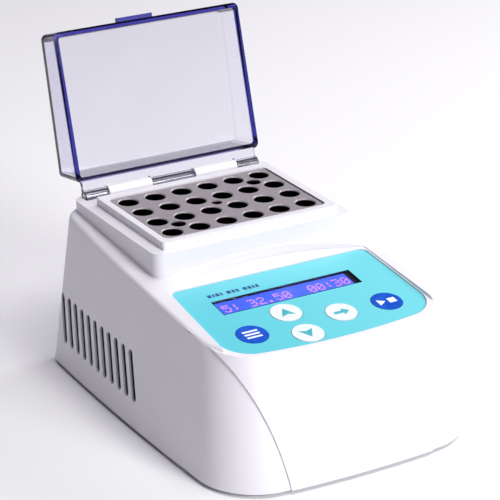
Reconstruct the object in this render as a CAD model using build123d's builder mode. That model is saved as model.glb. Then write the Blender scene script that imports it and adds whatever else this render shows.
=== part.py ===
"""A small dry block heater: a wedge-shaped plastic housing with an aluminium tube block in its deck,
a clear hinged lid, a sloping control panel with a display and five keys, and the heater, boards and
rear inlet that it holds inside.

Units are millimetres.  X is the width, +Y points to the back, +Z is up, and the origin is on the table
under the middle of the footprint.  The lid is modelled shut and then swung open about its pin.
"""
import os
from math import cos, radians, sin, tan

from build123d import *

# ---------------------------------------------------------------- housing
BODY_DEPTH = 151.5            # front to back of the footprint
FOOT_STAND = 1.5              # the housing's lower edge above the table
REAR_HALF = 55.0              # half widths of the footprint
WAIST_HALF = 57.3
NOSE_HALF = 55.3
SIDE_LEAN = 6.9               # degrees that each wall leans inwards
REAR_LEAN = 2.0
FRONT_LEAN = 17.8
NOSE_RADIUS_FOOT = 420.0      # plan radius of the front face, at the foot and level with the block
NOSE_RADIUS_TOP = 260.0
FRONT_CORNER_R_FOOT = 24.0
FRONT_CORNER_R_TOP = 16.0
REAR_CORNER_R = 7.0
WALL = 2.2
SHOULDER_R = 2.0

CROWN_R = 260.0               # the top is crowned across its width
RIDGE_DROP = 9.0              # the crown below the block's top, at the platform's front
CROWN_SLOPE_REAR = 4.75
CROWN_SLOPE_FRONT = 6.5

# ---------------------------------------------------------------- tube block
BLOCK_TOP = 71.5              # above the table
BLOCK_SETBACK = 42.0          # the block's centre to the back of the footprint
WELL_PITCH = 12.0
WELL_COLUMNS = 6
WELL_ROWS = 4
WELL_R = 4.0
WELL_MOUTH_BEVEL = 0.4
WELL_STRAIGHT = 14.0
WELL_TIP_R = 2.2
WELL_DEPTH = 27.0
BLOCK_MARGIN = 5.5            # past the outermost wells' pitch square
BLOCK_HEIGHT = 30.0
BLOCK_CORNER_R = 2.0
BLOCK_SCREW_HEAD_R = 3.0      # counterbore radius
BLOCK_SCREW_BORE_DEPTH = 22.0
THERMOMETER_R = 2.15
THERMOMETER_DEPTH = 20.0

# ---------------------------------------------------------------- platform, collar and hinge
PLATFORM_HALF = 44.0
PLATFORM_FRONT = 30.2         # forward of the block's centre
PLATFORM_BACK = 39.4
PLATFORM_CORNER_R = 4.0
DECK_DROP = 2.8               # the deck below the block's top
COLLAR_RISE = 0.4             # the collar above the block's top
COLLAR_WALL = 2.8
COLLAR_CORNER_R = 1.0
BLOCK_GAP = 0.7               # block to collar, each side
COLLAR_BACK_EXTRA = 1.4
HINGE_BACK = 37.0             # the pin behind the block's centre
HINGE_DROP = 2.3              # the pin below the block's top
PIN_R = 1.25
PIN_FIT = 0.03
RUNNING_FIT = 0.06
BARREL_R = 2.8
KNUCKLE_R = 2.5
KNUCKLE_POCKET_GAP = 0.4
KNUCKLE_OUTER_END = 40.0
KNUCKLE_OUTER_START = 30.0
KNUCKLE_MIDDLE_HALF = 9.7
KNUCKLE_SIDE_GAP = 0.35
HEEL_REACH = 2.4              # the flat on each knuckle that stops the open lid
HEEL_GAP = 0.1
HEEL_THICKNESS = 1.8
HINGE_BEAM_DEPTH = 7.0        # solid rib under the hinge, below the deck

# ---------------------------------------------------------------- lid
LID_OPEN_ANGLE = 107.0
LID_WALL = 2.0
LID_SIDE_GAP = 1.3            # lid wall to collar
LID_FRONT_GAP = 0.6
LID_BACK_GAP = 0.8
LID_REST_GAP = 0.2            # rim above the deck when shut
LID_HEIGHT_FRONT = 14.3
LID_HEIGHT_BACK = 18.3
LID_BACK_DRAFT = 2.0          # how far the walls lean in over the lid's height
LID_SIDE_DRAFT = 0.7
LID_TOP_R = 1.6
LID_CORNER_R = 2.4
FLANGE_HALF = 40.0
FLANGE_THICKNESS = 2.0
LIP_HALF = 8.0
LIP_X = -5.5                  # left of the middle
LIP_REACH = 1.6
LIP_THICKNESS = 1.6

# ---------------------------------------------------------------- control panel
PANEL_TILT = 7.87             # degrees down towards the front
PANEL_FORWARD = 45.0          # the panel's datum forward of the block's centre
PANEL_DROP = 15.1             # the recess floor below the block's top at the datum
RECESS_BACK_MIDDLE = 14.4     # along the panel from its datum
RECESS_BACK_CORNER = 5.6
RECESS_CORNER_HALF = 44.1
RECESS_FRONT_HALF = 46.7
RECESS_LENGTH = 60.0
OVERLAY_POCKET = 1.0
OVERLAY_THICKNESS = 0.5
OVERLAY_BACK = 5.5
OVERLAY_FRONT = 47.9
OVERLAY_FRONT_SAG = 4.0
OVERLAY_BACK_HALF = 43.5
OVERLAY_FRONT_HALF = 45.6
OVERLAY_BACK_R = 3.5
OVERLAY_FRONT_R = 13.0
OVERLAY_GAP = 0.15
WINDOW_LENGTH = 61.3
WINDOW_WIDTH = 10.2
WINDOW_X = -1.6
WINDOW_FORWARD = 11.4
WINDOW_LEDGE = 0.5
KEY_R = 6.1
KEY_GAP = 0.2
KEY_PROUD = 0.15
KEY_TRAVEL_ROOM = 0.7
KEY_FLANGE_EXTRA = 0.6
KEY_FLANGE_THICKNESS = 0.6
KEY_STEM_R = 1.6
KEYS = {                      # name: place on the panel, across and along
    "program": (-29.6, -32.6),
    "up": (-10.0, -24.3),
    "down": (-10.0, -40.1),
    "right": (9.4, -32.4),
    "start": (29.6, -32.6),
}
KEYPAD_DEPTH = 8.5            # the keypad board's top below the recess floor
KEYPAD_HALF = 39.5
KEYPAD_BACK = 2.5
KEYPAD_FRONT = 45.0
BOARD_THICKNESS = 1.6
KEYPAD_BOSS_R = 2.8
KEYPAD_BOSS_X = 36.6
KEYPAD_BOSS_INSET = 3.0
SWITCH_SIDE = 6.0
SWITCH_HEIGHT = 3.4
SWITCH_WELL_DEPTH = 1.5
SWITCH_WELL_GAP = 0.2
DISPLAY_LENGTH = 66.0
DISPLAY_WIDTH = 11.2
DISPLAY_GAP = 0.3
WINDOW_THICKNESS = 0.8

# ---------------------------------------------------------------- apron on the front face
APRON_PROUD = 0.8
APRON_FOOT_HALF = 31.0
APRON_MIDDLE_HALF = 37.5
APRON_HEAD_HALF = 50.0
APRON_HEAD_DROP = 18.0        # below the block's top
APRON_MIDDLE_DROP = 42.0

# ---------------------------------------------------------------- side vents
VENT_COUNT = 11
VENT_PITCH = 6.15
VENT_LENGTH = 20.4
VENT_WIDTH = 3.3
VENT_LEAN = 20.0
VENT_CENTRE_Y = 1.0           # behind the block's centre
VENT_CENTRE_DROP = 50.2       # below the block's top
VENT_BREAKTHROUGH = 1.5       # the cutter starts this far inside the wall

# ---------------------------------------------------------------- base cover, feet and fasteners
COVER_THICKNESS = 3.0
COVER_GAP = 0.3
FOOT_R = 6.0
FOOT_RECESS = 1.2
FOOT_RECESS_GAP = 0.2
FOOT_BACK = (36.0, 31.0)      # half spacing and place behind the block's centre
FOOT_FRONT = (36.0, -92.0)
CORNER_BOSS_R = 3.6
CORNER_BOSS_HEIGHT = 13.0
CORNER_BOSS_BITE = 0.1        # past the wall's inner face at the foot
CORNER_BOSS_BACK = 35.3       # places behind the block's centre
CORNER_BOSS_FRONT = -70.0
M3_R = 1.5
M3_HEAD_R = 2.75
M3_HEAD_HEIGHT = 1.6
M25_R = 1.25
M25_HEAD_R = 2.3
M25_HEAD_HEIGHT = 1.5
SCREW_HOLE_GAP = 0.2
PILOT_GAP = 0.03
CORNER_SCREW_LENGTH = 10.0
BOARD_SCREW_LENGTH = 5.0
DRIVE_SLOT = 0.7

# ---------------------------------------------------------------- heater stack
HEATER_PLATE_THICKNESS = 4.0
HEATER_FILM_THICKNESS = 1.2
HEATER_FILM_MARGIN = 2.0
HEATER_FILM_END_MARGIN = 6.5  # leaves a strip front and back for the thermal cut-out
PAD_THICKNESS = 4.0
TRAY_THICKNESS = 1.2
TRAY_MARGIN = 0.5             # tray past the pillars
PILLAR_R = 3.0
PILLAR_GAP = 0.7              # pillar to heater plate
PILLAR_Y = 14.0
INSULATION_GAP = 0.3
INSULATION_THICKNESS = 3.5
INSULATION_HEADROOM = 1.0
SENSOR_R = 1.5
SENSOR_LENGTH = 14.0
SENSOR_GAP = 0.1
CUTOUT_LENGTH = 9.0
CUTOUT_WIDTH = 5.0
CUTOUT_HEIGHT = 3.5
BLOCK_SCREW_R = 1.5
BLOCK_SCREW_HEAD_HEIGHT = 3.0
BLOCK_SCREW_HEAD_GAP = 0.25
BLOCK_SCREW_BITE = 3.5

# ---------------------------------------------------------------- main board and rear inlet
MAIN_BOARD_HALF = 37.0
MAIN_BOARD_LENGTH = 52.0
MAIN_BOARD_FORWARD = 68.0     # its centre forward of the block's centre
STANDOFF_R = 3.0
STANDOFF_HEIGHT = 6.0
STANDOFF_INSET = 4.0
INLET_X = -30.0
REAR_FITTING_RISE = 18.0      # up the back wall from its foot
INLET_R = 3.9
INLET_FLANGE_R = 5.4
INLET_FLANGE_THICKNESS = 1.2
INLET_DEPTH = 13.0
INLET_BORE_R = 2.75
INLET_BORE_DEPTH = 9.5
INLET_PIN_R = 1.0
INLET_NUT_R = 5.2
INLET_NUT_THICKNESS = 2.0
SWITCH_X = 24.0
ROCKER_BEZEL_LENGTH = 21.0
ROCKER_BEZEL_WIDTH = 15.0
ROCKER_BODY_LENGTH = 19.0
ROCKER_BODY_WIDTH = 13.0
ROCKER_BODY_DEPTH = 13.0
ROCKER_BEZEL_THICKNESS = 1.8
ROCKER_LENGTH = 15.6
ROCKER_WIDTH = 9.6
ROCKER_PROUD = 1.6
ROCKER_VALLEY = 0.8
ROCKER_GAP = 0.6
ROCKER_SIDE_GAP = 0.3
ROCKER_AXLE_R = 0.9
ROCKER_AXLE_STUB = 1.0
ROCKER_AXLE_DEPTH = 2.6       # inwards of the wall's outer face
ROCKER_TILT = 7.0
ROCKER_BELLY = 3.4            # below its axle
BLADE_SPACING = 8.0
BLADE_WIDTH = 4.8
BLADE_THICKNESS = 0.8
BLADE_LENGTH = 7.0
FITTING_GAP = 0.15
HEATSINK_X = 23.0
HEATSINK_BACK = 8.0
HEATSINK_LENGTH = 24.0
HEATSINK_WEB = 1.6
HEATSINK_FINS = 5
HEATSINK_FIN_PITCH = 5.6
HEATSINK_FIN_REACH = 12.0
HEATSINK_HEIGHT = 16.0
CAPACITOR_R = 4.0
CAPACITOR_HEIGHT = 12.0
CAPACITOR_EDGE = 0.6
CAPACITOR_X = (-28.0, -18.0)
CAPACITOR_BACK = 16.0
TERMINAL_WAYS = 4
TERMINAL_PITCH = 5.0
TERMINAL_DEPTH = 8.0
TERMINAL_HEIGHT = 10.0
TERMINAL_INSET = 1.0
TERMINAL_HOLE_DEPTH = 5.0
TERMINAL_HOLE_R = 1.3
CHIP_X = -16.0
CHIP_SIDE = 12.0
CHIP_HEIGHT = 1.6
WIRE_R = 0.5
WIRE_BEND_R = 4.0
WIRE_BARE = 1.0               # of each lead's end stays clear of the bottom of its hole
WIRE_FIRST_RUN = 19.0         # straight out of the terminal block
WIRE_LAST_RUN = 14.0          # straight into a fitting on the back wall
WIRE_RISER_GAP = 2.5          # riser to the tray's front edge
RIBBON_X = -2.0
RIBBON_WIDTH = 12.0
RIBBON_THICKNESS = 0.8
RIBBON_PANEL_PLACE = -20.0    # along the panel
RIBBON_BOARD_FORWARD = 12.0   # forward of the main board's centre
HEADER_WIDTH = 14.0
HEADER_DEPTH = 5.0
HEADER_HEIGHT = 4.0

# ---------------------------------------------------------------- places that follow from the sizes
REAR_Y = BODY_DEPTH / 2
FRONT_Y = -BODY_DEPTH / 2
BASE_Z = FOOT_STAND
COVER_TOP = BASE_Z + COVER_THICKNESS
BLOCK_Y = REAR_Y - BLOCK_SETBACK
DECK_Z = BLOCK_TOP - DECK_DROP
DECK_UNDER = DECK_Z - WALL
HINGE_Y = BLOCK_Y + HINGE_BACK
HINGE_Z = BLOCK_TOP - HINGE_DROP
HINGE_AXIS = Axis((0, HINGE_Y, HINGE_Z), (1, 0, 0))
BLOCK_HALF_X = (WELL_COLUMNS - 1) / 2 * WELL_PITCH + BLOCK_MARGIN
BLOCK_HALF_Y = (WELL_ROWS - 1) / 2 * WELL_PITCH + BLOCK_MARGIN
OPENING_HALF_X = BLOCK_HALF_X + BLOCK_GAP
OPENING_HALF_Y = BLOCK_HALF_Y + BLOCK_GAP
COLLAR_HALF_X = OPENING_HALF_X + COLLAR_WALL
COLLAR_FRONT = OPENING_HALF_Y + COLLAR_WALL
COLLAR_BACK = COLLAR_FRONT + COLLAR_BACK_EXTRA
BLOCK_BOTTOM = BLOCK_TOP - BLOCK_HEIGHT
SCREW_SEAT_Z = BLOCK_TOP - BLOCK_SCREW_BORE_DEPTH
PLATE_BOTTOM = BLOCK_BOTTOM - HEATER_PLATE_THICKNESS
FILM_BOTTOM = PLATE_BOTTOM - HEATER_FILM_THICKNESS
TRAY_TOP = FILM_BOTTOM - PAD_THICKNESS
TRAY_BOTTOM = TRAY_TOP - TRAY_THICKNESS
INSULATION_HALF_X = BLOCK_HALF_X + INSULATION_GAP + INSULATION_THICKNESS
INSULATION_HALF_Y = BLOCK_HALF_Y + INSULATION_GAP + INSULATION_THICKNESS
PILLAR_X = INSULATION_HALF_X + PILLAR_GAP + PILLAR_R
FILM_HALF_X = INSULATION_HALF_X - HEATER_FILM_MARGIN
FILM_HALF_Y = INSULATION_HALF_Y - HEATER_FILM_END_MARGIN
LID_RIM_Z = DECK_Z + LID_REST_GAP
LID_HALF_X = COLLAR_HALF_X + LID_SIDE_GAP + LID_WALL
LID_FRONT = COLLAR_FRONT + LID_FRONT_GAP + LID_WALL
LID_BACK = COLLAR_BACK + LID_BACK_GAP + LID_WALL
POCKET_R = KNUCKLE_R + KNUCKLE_POCKET_GAP
FLOOR_UNDER = OVERLAY_POCKET + WALL
OVERLAY_TOP = OVERLAY_POCKET - OVERLAY_THICKNESS
MAIN_BOARD_Z = COVER_TOP + STANDOFF_HEIGHT
MAIN_BOARD_TOP = MAIN_BOARD_Z + BOARD_THICKNESS
MAIN_BOARD_Y = BLOCK_Y - MAIN_BOARD_FORWARD
PANEL = Plane(
    origin=(0, BLOCK_Y - PANEL_FORWARD, BLOCK_TOP - PANEL_DROP),
    x_dir=(1, 0, 0),
    z_dir=(0, -sin(radians(PANEL_TILT)), cos(radians(PANEL_TILT))),
)
REAR_PLANE = Plane(
    origin=(0, REAR_Y, BASE_Z),
    x_dir=(-1, 0, 0),
    z_dir=(0, cos(radians(REAR_LEAN)), sin(radians(REAR_LEAN))),
)
KNUCKLE_SPANS = (
    (-KNUCKLE_OUTER_END, -KNUCKLE_OUTER_START),
    (-KNUCKLE_MIDDLE_HALF, KNUCKLE_MIDDLE_HALF),
    (KNUCKLE_OUTER_START, KNUCKLE_OUTER_END),
)
BARREL_START = KNUCKLE_MIDDLE_HALF + KNUCKLE_SIDE_GAP
BARREL_END = KNUCKLE_OUTER_START - KNUCKLE_SIDE_GAP
os.makedirs("parts", exist_ok=True)


def save(piece, name):
    """Label a finished piece and write it out under its own name."""
    piece.label = name
    export_step(piece, f"parts/{name}.step")


def side_half(y, height, inset):
    """Half width of the bulged, leaning side wall at a place along the body."""
    lean_in = (height - BASE_Z) * tan(radians(SIDE_LEAN)) + inset
    nose_y = FRONT_Y + APRON_PROUD + NOSE_HALF**2 / (2 * NOSE_RADIUS_FOOT)
    middle = (REAR_Y + nose_y) / 2
    along = (y - middle) / (REAR_Y - middle)
    end_half = REAR_HALF if along > 0 else NOSE_HALF
    return WAIST_HALF - (WAIST_HALF - end_half) * along**2 - lean_in


def body_section(height, inset):
    """Plan outline of the leaning, bulged body at a height, drawn in by an inset."""
    rise = height - BASE_Z
    share = rise / (BLOCK_TOP - BASE_Z)
    lean_in = rise * tan(radians(SIDE_LEAN)) + inset
    rear_y = REAR_Y - rise * tan(radians(REAR_LEAN)) - inset
    nose_y = FRONT_Y + APRON_PROUD + rise * tan(radians(FRONT_LEAN)) + inset
    rear = REAR_HALF - lean_in
    waist = WAIST_HALF - lean_in
    nose = NOSE_HALF - lean_in
    nose_radius = NOSE_RADIUS_FOOT + share * (NOSE_RADIUS_TOP - NOSE_RADIUS_FOOT)
    corner_r = FRONT_CORNER_R_FOOT + share * (FRONT_CORNER_R_TOP - FRONT_CORNER_R_FOOT)
    corner_y = nose_y + nose**2 / (2 * nose_radius)
    waist_y = (rear_y + corner_y) / 2
    with BuildSketch(Plane.XY.offset(height)) as section:
        with BuildLine():
            Line((-rear, rear_y), (rear, rear_y))
            ThreePointArc((rear, rear_y), (waist, waist_y), (nose, corner_y))
            ThreePointArc((nose, corner_y), (0, nose_y), (-nose, corner_y))
            ThreePointArc((-nose, corner_y), (-waist, waist_y), (-rear, rear_y))
        make_face()
        fillet(section.vertices().group_by(Axis.Y)[-1], REAR_CORNER_R - inset)
        fillet(section.vertices().group_by(Axis.Y)[0], corner_r - inset / 2)
    return section.sketch


def body_wedge(inset, foot=BASE_Z):
    """The leaning body between its foot and the level of the block's top."""
    sections = [body_section(foot, inset), body_section(BLOCK_TOP, inset)]
    with BuildPart() as wedge:
        loft(sections=sections)
    return wedge.part


def crown_solid(inset):
    """The common part of two long cylinders whose tops make the crowned, sloping top."""
    ridge_y = BLOCK_Y - PLATFORM_FRONT
    ridge_z = BLOCK_TOP - RIDGE_DROP
    with BuildPart() as crown:
        for slope, mode in ((CROWN_SLOPE_REAR, Mode.ADD), (CROWN_SLOPE_FRONT, Mode.INTERSECT)):
            rise = sin(radians(slope))
            run = cos(radians(slope))
            plane = Plane(
                origin=(0, ridge_y + CROWN_R * rise, ridge_z - CROWN_R * run),
                x_dir=(1, 0, 0),
                z_dir=(0, run, rise),
            )
            with BuildSketch(plane):
                Circle(CROWN_R - inset)
            extrude(amount=BODY_DEPTH, both=True, mode=mode)
    return crown.part


def platform_block(inset, top, depth):
    """The raised platform round the block, carried down into the body."""
    half = PLATFORM_HALF - inset
    front = BLOCK_Y - PLATFORM_FRONT + inset
    back = BLOCK_Y + PLATFORM_BACK - inset
    with BuildPart() as block:
        with BuildSketch(Plane.XY.offset(top)):
            with Locations((0, (front + back) / 2)):
                RectangleRounded(2 * half, back - front, PLATFORM_CORNER_R - inset)
        extrude(amount=-depth)
    return block.part


def recess_tool(grow):
    """The space over the panel floor: an arc at the back, straight sides, open at the front."""
    corner = (RECESS_CORNER_HALF + grow, RECESS_BACK_CORNER + grow)
    nose = (RECESS_FRONT_HALF + grow, -RECESS_LENGTH)
    with BuildPart() as tool:
        with BuildSketch(PANEL.offset(-grow)):
            with BuildLine():
                ThreePointArc((-corner[0], corner[1]), (0, RECESS_BACK_MIDDLE + grow), corner)
                Polyline(corner, nose, (-nose[0], nose[1]), (-corner[0], corner[1]))
            make_face()
        extrude(amount=BLOCK_TOP)
    return tool.part


def overlay_sheet(depth, thickness, gap):
    """Trapezoid with a curved front edge and rounded corners, from a depth upwards."""
    back = OVERLAY_BACK - gap
    front = -OVERLAY_FRONT + gap
    half_back = OVERLAY_BACK_HALF - gap
    half_front = OVERLAY_FRONT_HALF - gap
    side_front = front + OVERLAY_FRONT_SAG
    with BuildPart() as sheet:
        with BuildSketch(PANEL.offset(-depth)) as outline:
            with BuildLine():
                Polyline(
                    (-half_front, side_front), (-half_back, back), (half_back, back), (half_front, side_front)
                )
                ThreePointArc((half_front, side_front), (0, front), (-half_front, side_front))
            make_face()
            fillet(outline.vertices().group_by(Axis.Y)[-1], OVERLAY_BACK_R)
            fillet(outline.vertices().group_by(Axis.Y)[0], OVERLAY_FRONT_R)
        extrude(amount=thickness)
    return sheet.part


def pan_screw(plane, shank_r, length, head_r, head_height):
    """A pan-head screw: its head stands on the plane and its shank runs the other way."""
    with BuildPart() as screw:
        with BuildSketch(plane):
            Circle(head_r)
        extrude(amount=head_height)
        with BuildSketch(plane):
            Circle(shank_r)
        extrude(amount=-length)
        with BuildSketch(plane.offset(head_height)):
            Rectangle(2 * shank_r, DRIVE_SLOT)
            Rectangle(DRIVE_SLOT, 2 * shank_r)
        extrude(amount=-head_height / 2, mode=Mode.SUBTRACT)
    return screw.part


def spot_plane(plane, x, y, lift=0.0):
    """A plane parallel to another, moved to a point on it and lifted off it."""
    return Plane(origin=plane.from_local_coords((x, y, lift)), x_dir=plane.x_dir, z_dir=plane.z_dir)


def mirrored(*spots):
    """Each (half spacing, place behind the block's centre) as its two points."""
    return [(side * half, BLOCK_Y + place) for half, place in spots for side in (-1, 1)]


def wire(points):
    """A round insulated lead in straight runs joined by round bends."""
    with BuildPart() as lead:
        with BuildLine() as route:
            FilletPolyline(*points, radius=WIRE_BEND_R)
        with BuildSketch(Plane(origin=route.line @ 0, z_dir=route.line % 0)):
            Circle(WIRE_R)
        sweep(path=route.line)
    return lead.part


feet_spots = mirrored(FOOT_BACK, FOOT_FRONT)
boss_half_back = side_half(BLOCK_Y + CORNER_BOSS_BACK, BASE_Z, WALL) - CORNER_BOSS_R + CORNER_BOSS_BITE
boss_half_front = side_half(BLOCK_Y + CORNER_BOSS_FRONT, BASE_Z, WALL) - CORNER_BOSS_R + CORNER_BOSS_BITE
boss_spots = mirrored((boss_half_back, CORNER_BOSS_BACK), (boss_half_front, CORNER_BOSS_FRONT))
pillar_spots = mirrored((PILLAR_X, PILLAR_Y), (PILLAR_X, -PILLAR_Y))
keypad_spots = [
    (side * KEYPAD_BOSS_X, place)
    for side in (-1, 1)
    for place in (KEYPAD_BACK - KEYPAD_BOSS_INSET, KEYPAD_BOSS_INSET - KEYPAD_FRONT)
]
standoff_half = MAIN_BOARD_HALF - STANDOFF_INSET
standoff_reach = MAIN_BOARD_LENGTH / 2 - STANDOFF_INSET
standoff_spots = [
    (side * standoff_half, MAIN_BOARD_Y + end * standoff_reach) for side in (-1, 1) for end in (-1, 1)
]
block_screw_spots = [
    (-2 * WELL_PITCH, BLOCK_Y - WELL_PITCH),
    (2 * WELL_PITCH, BLOCK_Y + WELL_PITCH),
]
capacitor_spots = [(x, MAIN_BOARD_Y + CAPACITOR_BACK) for x in CAPACITOR_X]
terminal_back = MAIN_BOARD_Y + MAIN_BOARD_LENGTH / 2 - TERMINAL_INSET
terminal_y = terminal_back - TERMINAL_DEPTH / 2
terminal_mouth_z = MAIN_BOARD_TOP + TERMINAL_HEIGHT / 2
terminal_face = Plane(origin=(0, terminal_back, terminal_mouth_z), x_dir=(-1, 0, 0), z_dir=(0, 1, 0))

# ================================================================ housing
# The shell is a leaning body under a crowned top, with the platform, the apron and the collar added
# and the panel recess cut away.  The same shapes drawn in by the wall make the space inside.
outer_body = body_wedge(0)
outer_crown = crown_solid(0)
outer_platform = platform_block(0, DECK_Z, 2 * RIDGE_DROP)
panel_recess = recess_tool(0)
inner_body = body_wedge(WALL, BASE_Z - WALL)
inner_crown = crown_solid(WALL)
inner_platform = platform_block(WALL, DECK_UNDER, 2 * RIDGE_DROP)
panel_backing = recess_tool(FLOOR_UNDER)
pillar_ceiling = crown_solid(WALL / 2)
apron_body = body_wedge(-APRON_PROUD)
overlay_pocket = overlay_sheet(OVERLAY_POCKET, OVERLAY_POCKET + WALL, 0)

with BuildPart() as apron:
    add(apron_body)
    with BuildSketch(Plane.XZ) as apron_face:
        with BuildLine():
            foot = (APRON_FOOT_HALF, BASE_Z)
            head = (APRON_HEAD_HALF, BLOCK_TOP - APRON_HEAD_DROP)
            middle = (APRON_MIDDLE_HALF, BLOCK_TOP - APRON_MIDDLE_DROP)
            Line((-foot[0], foot[1]), foot)
            ThreePointArc(foot, middle, head)
            Line(head, (-head[0], head[1]))
            ThreePointArc((-head[0], head[1]), (-middle[0], middle[1]), (-foot[0], foot[1]))
        make_face()
    extrude(amount=BODY_DEPTH, mode=Mode.INTERSECT)
    add(panel_recess, mode=Mode.SUBTRACT)
    split(bisect_by=PANEL, keep=Keep.BOTTOM)

with BuildPart() as cavity:
    add(inner_body)
    add(inner_crown, mode=Mode.INTERSECT)
    add(panel_backing, mode=Mode.SUBTRACT)
    add(inner_platform)
    with BuildSketch(Plane.XY.offset(DECK_Z)):
        with Locations((0, HINGE_Y)):
            Rectangle(2 * REAR_HALF, 2 * (POCKET_R + WALL))
    extrude(amount=-HINGE_BEAM_DEPTH, mode=Mode.SUBTRACT)

with BuildPart() as pillars:
    with BuildSketch(Plane.XY.offset(TRAY_TOP)):
        with Locations(*pillar_spots):
            Circle(PILLAR_R)
    extrude(amount=BLOCK_TOP - TRAY_TOP)
    add(pillar_ceiling, mode=Mode.INTERSECT)

with BuildPart() as keypad_bosses:
    with BuildSketch(PANEL.offset(-KEYPAD_DEPTH)):
        with Locations(*keypad_spots):
            Circle(KEYPAD_BOSS_R)
    extrude(amount=KEYPAD_DEPTH - FLOOR_UNDER + WALL / 2)

with BuildPart() as knuckle_pockets:
    for start, end in KNUCKLE_SPANS:
        with BuildSketch(Plane.YZ.offset(start - KNUCKLE_SIDE_GAP)):
            with Locations((HINGE_Y, HINGE_Z)):
                Circle(POCKET_R)
            with Locations((HINGE_Y + POCKET_R, HINGE_Z)):
                Rectangle(2 * POCKET_R, 2 * POCKET_R)
        extrude(amount=end - start + 2 * KNUCKLE_SIDE_GAP)

with BuildPart() as upper_housing:
    add(outer_body)
    add(outer_crown, mode=Mode.INTERSECT)
    rim = upper_housing.edges().filter_by(lambda e: e.bounding_box().min.Z > BLOCK_TOP / 2)
    ridge_low = BLOCK_Y - PLATFORM_FRONT - 1
    ridge_high = BLOCK_Y - PLATFORM_FRONT + 1
    shoulder = rim.filter_by(
        lambda e: e.bounding_box().min.Y < ridge_low or e.bounding_box().max.Y > ridge_high
    )
    fillet(shoulder, SHOULDER_R)
    add(outer_platform)
    add(apron.part)
    add(panel_recess, mode=Mode.SUBTRACT)
    # collar round the block
    with BuildSketch(Plane.XY.offset(DECK_UNDER)):
        with Locations((0, BLOCK_Y + COLLAR_BACK_EXTRA / 2)):
            RectangleRounded(2 * COLLAR_HALF_X, COLLAR_FRONT + COLLAR_BACK, COLLAR_CORNER_R)
    extrude(amount=BLOCK_TOP + COLLAR_RISE - DECK_UNDER)
    # hollow, then the supports inside
    add(cavity.part, mode=Mode.SUBTRACT)
    add(pillars.part)
    add(keypad_bosses.part)
    with BuildSketch(Plane.XY.offset(COVER_TOP)):
        with Locations(*boss_spots):
            Circle(CORNER_BOSS_R)
    extrude(amount=CORNER_BOSS_HEIGHT)
    # block opening
    with BuildSketch(Plane.XY.offset(DECK_UNDER - WALL)):
        with Locations((0, BLOCK_Y)):
            RectangleRounded(2 * OPENING_HALF_X, 2 * OPENING_HALF_Y, BLOCK_CORNER_R + BLOCK_GAP)
    extrude(amount=BLOCK_TOP, mode=Mode.SUBTRACT)
    # hinge barrels and the pockets between them
    add(knuckle_pockets.part, mode=Mode.SUBTRACT)
    for start in (-BARREL_END, BARREL_START):
        with BuildSketch(Plane.YZ.offset(start)):
            with Locations((HINGE_Y, HINGE_Z)):
                Circle(BARREL_R)
        extrude(amount=BARREL_END - BARREL_START)
    with BuildSketch(Plane.YZ.offset(-BARREL_END)):
        with Locations((HINGE_Y, HINGE_Z)):
            Circle(PIN_R + PIN_FIT)
    extrude(amount=2 * BARREL_END, mode=Mode.SUBTRACT)
    # overlay pocket, display opening and key openings
    add(overlay_pocket, mode=Mode.SUBTRACT)
    with BuildSketch(PANEL.offset(-OVERLAY_TOP - WINDOW_THICKNESS)):
        with Locations((WINDOW_X, -WINDOW_FORWARD)):
            Rectangle(WINDOW_LENGTH, WINDOW_WIDTH)
    extrude(amount=OVERLAY_POCKET, mode=Mode.SUBTRACT)
    with BuildSketch(PANEL.offset(-FLOOR_UNDER - WALL)):
        with Locations((WINDOW_X, -WINDOW_FORWARD)):
            Rectangle(WINDOW_LENGTH - 2 * WINDOW_LEDGE, WINDOW_WIDTH - 2 * WINDOW_LEDGE)
        with Locations(*KEYS.values()):
            Circle(KEY_R + KEY_GAP)
    extrude(amount=FLOOR_UNDER + WALL, mode=Mode.SUBTRACT)
    # side vents
    vent_start = side_half(BLOCK_Y + VENT_CENTRE_Y + VENT_COUNT / 2 * VENT_PITCH, BLOCK_TOP, WALL)
    vent_spots = [
        (BLOCK_Y + VENT_CENTRE_Y + (i - (VENT_COUNT - 1) / 2) * VENT_PITCH, BLOCK_TOP - VENT_CENTRE_DROP)
        for i in range(VENT_COUNT)
    ]
    for side in (-1, 1):
        with BuildSketch(Plane.YZ.offset(side * (vent_start + VENT_BREAKTHROUGH))):
            with Locations(*vent_spots):
                SlotOverall(VENT_LENGTH, VENT_WIDTH, rotation=90 - VENT_LEAN)
        extrude(amount=side * WAIST_HALF, mode=Mode.SUBTRACT)
    # rear openings
    with BuildSketch(REAR_PLANE.offset(-2 * WALL)):
        with Locations((-INLET_X, REAR_FITTING_RISE)):
            Circle(INLET_R + FITTING_GAP)
        with Locations((-SWITCH_X, REAR_FITTING_RISE)):
            Rectangle(ROCKER_BODY_WIDTH + 2 * FITTING_GAP, ROCKER_BODY_LENGTH + 2 * FITTING_GAP)
    extrude(amount=4 * WALL, mode=Mode.SUBTRACT)
    # pilot holes for every screw that bites into the housing
    with BuildSketch(Plane.XY.offset(COVER_TOP)):
        with Locations(*boss_spots):
            Circle(M3_R + PILOT_GAP)
    extrude(amount=CORNER_SCREW_LENGTH, mode=Mode.SUBTRACT)
    with BuildSketch(Plane.XY.offset(TRAY_TOP)):
        with Locations(*pillar_spots):
            Circle(M25_R + PILOT_GAP)
    extrude(amount=BOARD_SCREW_LENGTH, mode=Mode.SUBTRACT)
    with BuildSketch(PANEL.offset(-KEYPAD_DEPTH)):
        with Locations(*keypad_spots):
            Circle(M25_R + PILOT_GAP)
    extrude(amount=BOARD_SCREW_LENGTH, mode=Mode.SUBTRACT)
save(upper_housing.part, "upper_housing")

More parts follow.
